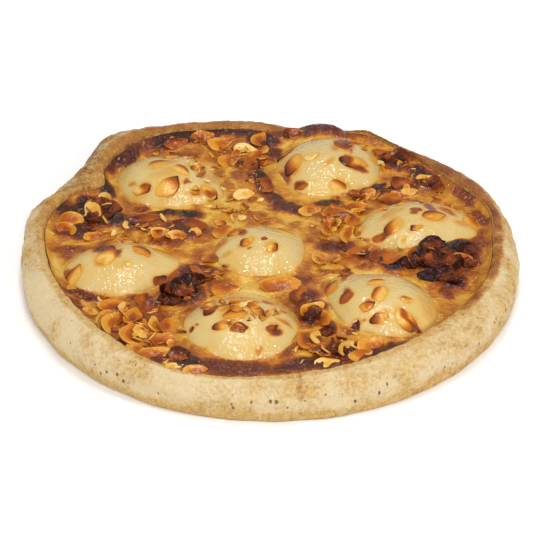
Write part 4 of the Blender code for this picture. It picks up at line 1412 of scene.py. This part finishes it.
@dataclass
class Topping:
    """All the flaked almonds: baked into the pears, loose on the filling, and their crumbs."""

    filling: Filling
    pears: Sequence[Pear]
    seed: int = 5
    # Baked flakes stand a little proud, in a golden halo that they left in the pear
    width_share: float = 0.66
    proud: float = 0.34
    scorching: float = 0.95
    scorch_start: float = 0.2
    halo_reach: float = 0.62
    halo_depth: float = 0.34
    # Loose flakes: width as a share of length, and how high their middles lie
    loose_width: Row = (0.5, 0.64)
    lift: float = 0.3
    loose_rise: float = 0.3
    curl_sink: float = 0.25
    # Chips: spread over a patch, share of slivers, widths as shares of length, curl and bow
    gather: float = 0.55
    wall_gap: float = 4.0
    sliver_share: float = 0.4
    sliver_width: Row = (0.14, 0.3)
    chip_width: Row = (0.45, 0.9)
    chip_curl: float = 0.12
    sliver_bow: float = 0.2
    chip_rise: float = 0.25
    # Baked into the pears: x, y, length, heading, dark side, toasting
    on_pears: tuple[BakedFlake, ...] = (
        (-29, -67, 9, 40, 220, BROWN), (-17, -73, 12, 10, 100, SOAKED), (-6, -70, 10, -50, -20, RINGED),
        (-15, -82, 9, -10, 0, BROWN), (-24, -80, 8, 0, 180, SOAKED), (-21, -67, 9, -30, 90, SOAKED),
        (-12, -63, 9, 20, 60, RINGED), (1, -80, 7, 50, 0, BROWN), (-38, -76, 3, 80, 0, BROWN),
        (-30, -58, 9, 80, 120, RINGED), (-12, -7, 8, 40, 170, RINGED), (1, -12, 8, 60, 10, RINGED),
        (7, 7, 10, -20, 90, SOAKED), (-17, 7, 12, 80, 150, RINGED), (-3, -6, 3.5, 0, 90, BROWN),
        (-6, 14, 10, 10, 90, SOAKED), (53, -69, 9, 10, 180, SOAKED), (66, -70, 13, -40, -40, RINGED),
        (66, -57, 6, 0, 90, SOAKED), (53, -54, 11, 80, 150, SOAKED), (37, -52, 10, 80, 120, BROWN),
        (30, -38, 12, 60, 150, SOAKED), (47, -62, 8, 30, 60, RINGED), (40, -72, 9, 50, 60, BROWN),
        (52, -44, 9, 20, 90, SOAKED), (37, -25, 12, 80, 60, BROWN), (74, 22, 7, -10, 60, BROWN),
        (83, 18, 13, 20, 110, RINGED), (62, 10, 12, 55, 190, SOAKED), (73, 7, 6, 10, 180, SOAKED),
        (92, 30, 10, -20, 60, SOAKED), (103, 24, 14, 80, 60, RINGED), (55, 4, 8, 10, 0, BROWN),
        (44, 14, 8, 60, 180, SOAKED), (7, 88, 12, 70, 200, RINGED), (12, 72, 14, 80, 210, RINGED),
        (38, 88, 14, 75, 0, BROWN), (43, 70, 14, 10, 200, RINGED), (25, 97, 8, 0, 90, SOAKED),
        (16, 55, 7, -10, 120, BROWN), (35, 54, 9, 10, 60, SOAKED), (21, 73, 7, 20, 90, PALE),
        (56, 84, 10, 80, 20, SOAKED), (25, 106, 8, 0, 90, BROWN), (-52, 48, 15, 55, 50, RINGED),
        (-66, 49, 10, -20, -20, RINGED), (-58, 66, 12, 20, 90, SOAKED), (-46, 60, 10, -40, 60, SOAKED),
        (-31, 48, 11, -50, -40, RINGED), (-66, 37, 8, 80, 0, BROWN), (-38, 68, 9, 40, 30, SOAKED),
        (-51, 77, 12, 60, 90, RINGED), (-81, -18, 16, 70, 80, RINGED), (-86, -5, 11, 70, 60, BROWN),
        (-53, -8, 11, -20, 90, SOAKED), (-64, -13, 12, -50, 60, SOAKED), (-98, -27, 13, 60, 135, RINGED),
        (-53, -31, 10, 30, 90, BROWN), (-71, 4, 9, 10, 90, RINGED),
    )
    # Lying or leaning on the filling: x, y, length, heading, tilt, curl, toasting
    loose: tuple[LooseFlake, ...] = (
        # the pile at the left front
        (-68, -77, 17, 82, 30, 0.9, GOLD), (-54, -92, 17, 5, 18, 1.2, GOLD),
        (-67, -62, 14, 70, 16, 0.8, GOLD), (-59, -54, 12, 30, 30, 0.8, BROWN),
        (-77, -68, 17, 62, 50, 1.6, GOLD), (-81, -65, 15, 66, 50, 1.4, GOLD),
        (-56, -69, 14, 100, 25, 0.9, GOLD), (-50, -70, 12, 70, 40, 0.7, GOLD),
        (-77, -50, 16, 5, 10, 0.7, AMBER), (-88, -55, 9, -30, 20, 0.3, PALE),
        (-46, -103, 9, 10, 15, 0.3, PALE), (-36, -106, 12, 15, 20, 0.5, AMBER),
        (-64, -88, 12, -35, 24, 0.8, GOLD), (-72, -58, 14, 100, 55, 1.8, PALE),
        (-52, -80, 13, 30, 20, 0.8, AMBER), (-61, -72, 12, 20, 12, 0.6, GOLD),
        (-63, -47, 10, 60, 40, 0.8, BROWN), (-44, -97, 10, -20, 30, 0.5, BROWN),
        # beside the front pears
        (20, -60, 15, 40, 25, 1.2, AMBER), (22, -79, 10, 80, 30, 0.5, PALE),
        (36, -88, 12, 50, 58, 0.8, PALE), (43, -92, 12, 20, 15, 0.7, AMBER),
        (27, -99, 12, 15, 12, 0.4, PALE), (16, -82, 13, 100, 12, 0.5, AMBER),
        (15, -57, 14, 75, 40, 1.4, BROWN), (26, -66, 11, -60, 40, 1.0, AMBER),
        (48, -84, 14, 20, 20, 1.0, AMBER), (31, -84, 9, 110, 45, 0.6, BROWN),
        # between the pears in the middle
        (5, -36, 20, 8, 22, 1.6, AMBER), (-22, -40, 15, 15, 14, 0.8, AMBER),
        (-34, -24, 16, 140, 12, 0.8, BROWN), (24, -12, 11, 120, 10, 0.5, GOLD),
        (33, 27, 16, 0, 12, 0.9, AMBER), (43, -6, 12, 30, 18, 0.7, BROWN),
        (-24, 13, 14, 45, 20, 0.7, AMBER), (-29, -9, 14, 62, -10, 0.6, AMBER),
        (14, -44, 13, 60, 18, 0.8, BROWN), (40, 22, 14, -30, 25, 1.0, AMBER),
        (28, 14, 12, 80, 35, 0.8, GOLD), (44, 36, 12, 30, 20, 0.7, AMBER), (20, 32, 12, 20, 15, 0.6, GOLD),
        (38, 9, 13, 70, 40, 1.2, GOLD),
        # the ridge at the left
        (-63, 23, 17, 5, 12, 0.8, BROWN), (-41, 17, 19, -10, 14, 1.0, BROWN),
        (-73, 21, 8, 90, 15, 0.2, PALE), (-56, 10, 10, 20, 25, 0.5, GOLD),
        (-84, 43, 11, -60, 50, 1.4, PALE), (-90, 30, 13, -50, 45, 0.9, PALE),
        (-101, 27, 13, 0, 55, 1.6, GOLD), (-103, 18, 12, -30, 40, 1.4, GOLD),
        (-97, -39, 14, 110, 12, 0.7, GOLD), (-84, 24, 8, 100, 50, 0.4, PALE),
        (-90, 12, 10, 20, 20, 0.5, AMBER), (-47, 8, 10, -10, 35, 0.7, GOLD),
        # along the back
        (-13, 94, 13, -15, 20, 0.9, PALE), (-6, 103, 14, 70, 22, 0.7, GOLD),
        (-27, 100, 14, 30, 20, 0.7, AMBER), (-10, 76, 14, -70, 25, 0.7, BROWN),
        (-3, 57, 14, -60, 18, 0.6, BROWN), (-50, 97, 13, 20, 24, 0.7, BROWN),
        (58, 92, 11, -30, 20, 0.6, BROWN), (-22, 84, 13, 20, 20, 0.8, AMBER),
        (-14, 48, 11, 10, 25, 0.5, PALE), (-36, 106, 12, 10, 30, 0.9, AMBER),
        (-8, 88, 10, 60, 30, 0.7, AMBER), (12, 108, 12, 10, 25, 0.6, BROWN),
        # caramelised clusters at the right
        (69, 84, 13, -40, 30, 1.0, BROWN), (68, 62, 13, 30, 25, 0.8, BROWN),
        (86, 60, 13, -60, 25, 0.8, BROWN), (80, 66, 9, 20, 20, 0.5, PALE), (81, -2, 13, 15, 42, 1.2, DARK),
        (87, -18, 17, -30, 40, 1.6, DARK), (97, -7, 14, 60, 48, 1.2, DARK),
        (82, -26, 16, 10, 35, 1.2, DARK), (94, -14, 13, 15, 65, 1.2, AMBER),
        (70, -16, 14, 80, 60, 1.4, BROWN), (66, -2, 10, 60, 55, 0.7, PALE),
        (76, -14, 12, 20, 40, 1.0, DARK), (57, -14, 16, -10, 14, 0.8, BROWN),
        (101, -10, 9, 80, 40, 0.6, GOLD), (64, 46, 14, 20, 25, 0.8, BROWN), (72, 54, 9, 10, 20, 0.5, PALE),
        # caramelised cluster at the left of the middle
        (-43, -43, 15, 20, 50, 1.4, DARK), (-48, -34, 13, 80, 45, 1.0, BROWN),
        (-39, -36, 12, 30, 60, 1.2, DARK), (-51, -44, 12, 60, 60, 1.0, DARK),
    )
    litter: tuple[Litter, ...] = (
        Litter(-64, -72, 16, 11, -45, 46, 2.5, 7.5, (GOLD, PALE, BROWN), 60),
        Litter(-50, -96, 13, 5, -25, 14, 2.0, 5.5, (PALE, AMBER)),
        Litter(26, -86, 15, 7, 15, 26, 2.5, 7.0, (PALE, AMBER, BROWN), 60),
        Litter(21, -62, 6, 12, 0, 12, 2.0, 5.0, (BROWN, AMBER, PALE), 50),
        Litter(34, 24, 14, 16, 0, 44, 2.5, 9.0, (SOAKED, GOLD, AMBER), 45),
        Litter(30, -18, 12, 9, -20, 14, 2.0, 6.0, (AMBER, GOLD)),
        Litter(-18, 34, 12, 14, 0, 20, 2.5, 7.5, (PALE, SOAKED, AMBER), 45),
        Litter(-58, 14, 24, 6, 2, 26, 2.5, 7.5, (PALE, GOLD, AMBER), 45),
        Litter(-90, 32, 12, 10, 20, 20, 2.5, 6.5, (PALE, BROWN, AMBER), 65),
        Litter(-18, 90, 18, 12, -10, 34, 2.5, 8.0, (AMBER, GOLD, BROWN), 45),
        Litter(-10, 62, 7, 16, -10, 14, 2.5, 6.5, (AMBER, BROWN, PALE)),
        Litter(-46, 102, 22, 5, 22, 22, 2.0, 6.0, (BROWN, AMBER, SOAKED)),
        Litter(14, 110, 24, 5, -5, 18, 2.0, 6.0, (BROWN, AMBER, SOAKED)),
        Litter(74, 70, 18, 8, -45, 24, 2.5, 8.0, (BROWN, AMBER, PALE), 45),
        Litter(52, 50, 18, 6, 15, 20, 2.5, 7.5, (AMBER, GOLD, BROWN), 45),
        Litter(48, -8, 18, 6, -15, 16, 2.5, 7.0, (AMBER, BROWN)),
        Litter(87, -15, 12, 8, 0, 18, 2.5, 8.0, (DARK, BROWN, AMBER), 70),
        Litter(-42, -38, 10, 10, 0, 18, 2.5, 7.5, (DARK, BROWN, AMBER), 70),
        Litter(-80, -48, 12, 5, -10, 12, 2.0, 6.0, (BROWN, PALE)),
        Litter(-14, -64, 13, 6, 0, 18, 2.5, 7.0, (SOAKED, AMBER, PALE), 14),
        Litter(-12, -74, 14, 7, 0, 14, 1.6, 4.5, (SOAKED, AMBER), 12),
        Litter(-34, 62, 12, 16, 10, 24, 2.0, 6.5, (SOAKED, PALE, AMBER), 16),
        Litter(-48, 87, 22, 5, 5, 12, 3.0, 7.0, (SOAKED, BROWN), 16),
        Litter(-30, -24, 10, 8, 30, 10, 2.0, 5.0, (AMBER, SOAKED)),
        Litter(48, 92, 12, 14, 0, 14, 2.0, 5.0, (SOAKED, AMBER), 16),
        Litter(-70, 3, 18, 5, 0, 8, 3.0, 7.0, (SOAKED, AMBER), 14),
        Litter(78, 34, 22, 6, 5, 10, 3.0, 7.0, (SOAKED, AMBER), 14),
    )

    def surface(self, x: np.ndarray, y: np.ndarray) -> np.ndarray:
        """Gives the height of what lies on top at plan places, filling or pear.

        Args:
            x: places across in mm.
            y: places away from the viewer in mm.

        Returns:
            The height in mm.
        """
        top = self.filling.height(x, y)
        for pear in self.pears:
            top = np.maximum(top, pear.height(x, y))
        return top

    def ground(self, x: float, y: float) -> float:
        """Height of the surface at one place."""
        return float(self.surface(np.array([float(x)]), np.array([float(y)]))[0])

    def lifted(self, width: float, tilt: float) -> float:
        """How far tipping over lifts a flake's middle."""
        return self.lift * width * abs(math.sin(math.radians(tilt)))

    def halos(self) -> tuple[Row, ...]:
        """Gives the golden stains that the flakes left in the pears round themselves.

        Returns:
            Rows of x, y, half-length, half-width, heading and depth.
        """
        reach = self.halo_reach
        return tuple((x, y, reach * length, reach * length * self.width_share, heading, self.halo_depth)
                     for x, y, length, heading, _, _ in self.on_pears)

    def drape(self, flakes: Flakes, row: BakedFlake) -> None:
        """Sinks one flake into the surface below it, following it, its rim flush.

        Args:
            flakes: the piece that it joins.
            row: its row of the table.
        """
        x, y, length, heading, dark_side, toasting = row
        verts = flakes.cut(length, length * self.width_share, toasting, dark_side - heading)
        sides = [vert.co.z for vert in verts]
        flakes.place(verts, heading, 0.0, (x, y, 0.0))
        plan = np.array([vert.co[:] for vert in verts])
        level = self.surface(plan[:, 0], plan[:, 1])
        scorch = self.scorching * stained(plan[:, 0], plan[:, 1], PEAR_STAINS, PEAR_RAGGED)
        for vert, ground, side, burn in zip(verts, level, sides, scorch):
            rounding = (abs(side) - 0.5 + flakes.edge_round) / flakes.edge_round
            vert.co.z = ground + (self.proud * rounding if side > 0 else -self.proud)
            vert[flakes.layer] = max(vert[flakes.layer], burn - self.scorch_start)

    def lean(self, flakes: Flakes, row: LooseFlake) -> None:
        """Stands or lays one curled flake on the surface.

        Args:
            flakes: the piece that it joins.
            row: its row of the table.
        """
        x, y, length, heading, tilt, curl, toasting = row
        width = length * flakes.draw.uniform(*self.loose_width)
        verts = flakes.cut(length, width, toasting, flakes.draw.uniform(0.0, 360.0))
        flakes.bend(verts, length, curl, 0.0)
        rise = self.lifted(width, tilt) + self.loose_rise - self.curl_sink * curl
        flakes.place(verts, heading, tilt, (x, y, self.ground(x, y) + rise))

    def strew(self, chips: Flakes, patch: Litter) -> None:
        """Strews one patch with broken chips and slivers.

        Args:
            chips: the piece that they join.
            patch: where they lie and how they look.
        """
        draw = chips.draw
        for _ in range(patch.count):
            along = draw.gauss(0.0, self.gather) * patch.along
            across = draw.gauss(0.0, self.gather) * patch.across
            off_x, off_y = turned(along, across, -patch.heading)
            x, y = patch.x + off_x, patch.y + off_y
            edge = self.filling.case.inner(np.array([math.degrees(math.atan2(y, x))]))[0]
            if math.hypot(x, y) > edge - self.wall_gap:
                continue
            length = draw.uniform(patch.shortest, patch.longest)
            sliver = draw.random() < self.sliver_share
            width = length * draw.uniform(*(self.sliver_width if sliver else self.chip_width))
            verts = chips.cut(length, width, draw.choice(patch.tones), draw.uniform(0.0, 360.0))
            curl = draw.uniform(0.0, self.chip_curl) * length
            bow = draw.uniform(-self.sliver_bow, self.sliver_bow) * length * sliver
            chips.bend(verts, length, curl, bow)
            tilt = draw.uniform(-1.0, 1.0) * patch.steepest
            rise = self.lifted(width, tilt) + self.chip_rise
            chips.place(verts, draw.uniform(0.0, 360.0), tilt, (x, y, self.ground(x, y) + rise))

    def build(self, almond: bpy.types.Material, scorched: bpy.types.Material) -> None:
        """Makes the four pieces of flakes and chips.

        Args:
            almond: the flakes' finish.
            scorched: the finish of those that caught.
        """
        baked = Flakes("almond_flakes_on_pears", self.seed, ragged=0.12)
        for row in self.on_pears:
            self.drape(baked, row)
        baked.finish(almond)
        loose = Flakes("almond_flakes_on_filling", self.seed + 1)
        burnt = Flakes("scorched_flakes", self.seed + 3, ragged=0.16, crinkle=2.2)
        for row in self.loose:
            self.lean(burnt if row[-1] is DARK else loose, row)
        loose.finish(almond)
        burnt.finish(scorched)
        chips = Flakes("almond_chips", self.seed + 2, sides=7, rings=(0.12,), thickness=0.6, ragged=0.16)
        for patch in self.litter:
            self.strew(chips, patch)
        chips.finish(almond)


@dataclass
class CaramelClusters:
    """Boiled-over caramel, set in dark glossy lumps where flakes gathered."""

    topping: Topping
    # x, y, half-length, half-width, half-height, heading
    lumps: tuple[Row, ...] = (
        (84, -14, 10, 8, 3.0, 10), (97, -7, 7, 5, 3.0, 60), (80, -5, 6, 5, 3.0, 20),
        (88, -24, 7, 6, 2.4, 0), (70, -17, 6, 4, 2.4, -20), (98, -12, 5, 6, 2.4, 0),
        (-45, -41, 8, 7, 3.0, 20), (-38, -34, 6, 5, 2.4, 70), (-50, -48, 6, 4, 2.2, 0),
        (-84, 36, 8, 5, 2.4, -30), (-88, 27, 7, 4, 2.0, 10), (20, -62, 5, 5, 2.4, 0),
        (27, -73, 3.5, 3, 1.6, 40), (-44, -93, 5, 3, 1.6, -30), (66, 84, 8, 5, 2.6, -40),
        (84, 64, 8, 4, 2.2, -50), (-8, 78, 5, 4, 1.8, -60), (33, -87, 6, 4, 2.0, 20),
    )
    # How far a lump's middle stands over the surface, as a share of its half-height
    stand: float = 0.15
    subdivisions: int = 5
    crags: tuple[Row, ...] = ((1.5, 4.5, 1.0), (0.55, 1.8, 2.0))
    folds: Row = (6.0, 4.0, 3.0)
    fold_height: float = 0.7
    tone: float = 0.55
    tone_patches: Row = (0.5, 5.0, 4.0)
    fold_tone: float = 0.2

    def build(self, material: bpy.types.Material) -> bpy.types.Object:
        """Models the lumps as one piece.

        Args:
            material: their finish.

        Returns:
            The piece.
        """
        bm = bmesh.new()
        for x, y, half_length, half_width, half_height, heading in self.lumps:
            verts = bmesh.ops.create_icosphere(bm, subdivisions=self.subdivisions, radius=1.0)["verts"]
            bmesh.ops.scale(bm, vec=(half_length, half_width, half_height), verts=verts)
            turn = Matrix.Rotation(math.radians(heading), 3, "Z")
            bmesh.ops.rotate(bm, verts=verts, cent=(0, 0, 0), matrix=turn)
            middle = self.topping.ground(x, y) + self.stand * half_height
            bmesh.ops.translate(bm, verts=verts, vec=(x, y, middle))
        mesh = to_mesh("caramel_lumps", bm)
        points = coordinates(mesh)
        folds = creases(points, *self.folds)
        raise_surface(mesh, points, layered(points, *self.crags) + self.fold_height * folds)
        put_attribute(mesh, "toast", self.tone + layered(points, self.tone_patches) - self.fold_tone * folds)
        return finished("caramel_lumps", mesh, material)


@dataclass
class Studio:
    """Plain white sweep, soft daylight and the photograph's camera."""

    distance: float = 1.6
    elevation: float = 33.5
    aim_height: float = 0.005
    focal_pixels: float = 3168.0
    frame_pixels: float = 540.0
    off_centre_pixels: float = -0.5
    sensor: float = 36.0
    farthest: float = 10.0
    sweep_size: float = 6.0
    sweep_height: float = -0.0002
    daylight: float = 0.43
    # Softboxes: name, place and side in metres, and watts
    softboxes: tuple[tuple[str, Row, float, float], ...] = (
        ("softbox_above", (0.0, 0.1, 1.55), 0.5, 7.5),
        ("lamp_front", (0.05, -0.85, 1.35), 0.35, 4.5),
        ("softbox_front", (0.2, -1.5, 1.05), 0.3, 4.2),
        ("softbox_left", (-1.3, -0.8, 0.8), 0.3, 6.5),
        ("softbox_right", (1.3, -0.7, 0.8), 0.3, 9.5),
    )

    def build(self) -> None:
        """Sets up floor, lights and camera."""
        bpy.context.scene.view_settings.view_transform = "Standard"
        self.floor()
        self.sky()
        for name, place, size, power in self.softboxes:
            self.softbox(name, place, size, power)
        self.camera()

    def floor(self) -> None:
        """Lays the white sweep."""
        bm = bmesh.new()
        bmesh.ops.create_grid(bm, x_segments=1, y_segments=1, size=self.sweep_size)
        bmesh.ops.translate(bm, verts=bm.verts, vec=(0, 0, self.sweep_height))
        mesh = to_mesh("sweep", bm, scale=1.0)
        material = bpy.data.materials.new("white_paper_sweep")
        material.use_nodes = True
        shader = material.node_tree.nodes["Principled BSDF"]
        shader.inputs["Base Color"].default_value = linear("FFFFFF")
        shader.inputs["Roughness"].default_value = 0.9
        mesh.materials.append(material)
        floor = bpy.data.objects.new("sweep", mesh)
        bpy.context.scene.collection.objects.link(floor)

    def sky(self) -> None:
        """Surrounds everything with even white light."""
        world = bpy.data.worlds.new("studio")
        world.use_nodes = True
        background = world.node_tree.nodes["Background"]
        background.inputs["Color"].default_value = linear("FFFFFF")
        background.inputs["Strength"].default_value = self.daylight
        bpy.context.scene.world = world

    def softbox(self, name: str, place: Row, size: float, power: float) -> None:
        """Hangs one square softbox that faces the tart.

        Args:
            name: the light's name.
            place: its position in metres.
            size: its side in metres.
            power: its strength in watts.
        """
        light = bpy.data.lights.new(name, "AREA")
        light.size = size
        light.energy = power
        holder = bpy.data.objects.new(name, light)
        holder.location = place
        holder.rotation_euler = (-Vector(place)).to_track_quat("-Z", "Y").to_euler()
        bpy.context.scene.collection.objects.link(holder)

    def camera(self) -> None:
        """Sets the camera where the photograph was taken from."""
        lens = bpy.data.cameras.new("camera")
        lens.sensor_width = self.sensor
        lens.lens = self.sensor * self.focal_pixels / self.frame_pixels
        lens.shift_x = self.off_centre_pixels / self.frame_pixels
        lens.clip_end = self.farthest
        camera = bpy.data.objects.new("camera", lens)
        tilt = math.radians(self.elevation)
        camera.location = (0.0, -self.distance * math.cos(tilt),
                           self.aim_height + self.distance * math.sin(tilt))
        camera.rotation_euler = (math.pi / 2 - tilt, 0.0, 0.0)
        bpy.context.scene.collection.objects.link(camera)
        bpy.context.scene.camera = camera


def main() -> None:
    """Builds the tart's pieces in order and sets the studio round them."""
    logging.basicConfig(level=logging.INFO, format="%(message)s")
    case = Case()
    case.build()
    filling = Filling(case)
    filling.build(FRANGIPANE.make(), PEARS)
    topping = Topping(filling, PEARS)
    flesh = POACHED_PEAR.make()
    for pear in PEARS:
        pear.build(PEAR_STAINS + topping.halos(), filling, flesh)
    caramel = CARAMEL.make()
    topping.build(TOASTED_ALMOND.make(), caramel)
    CaramelClusters(topping).build(caramel)
    Studio().build()


if __name__ == "__main__":
    main()
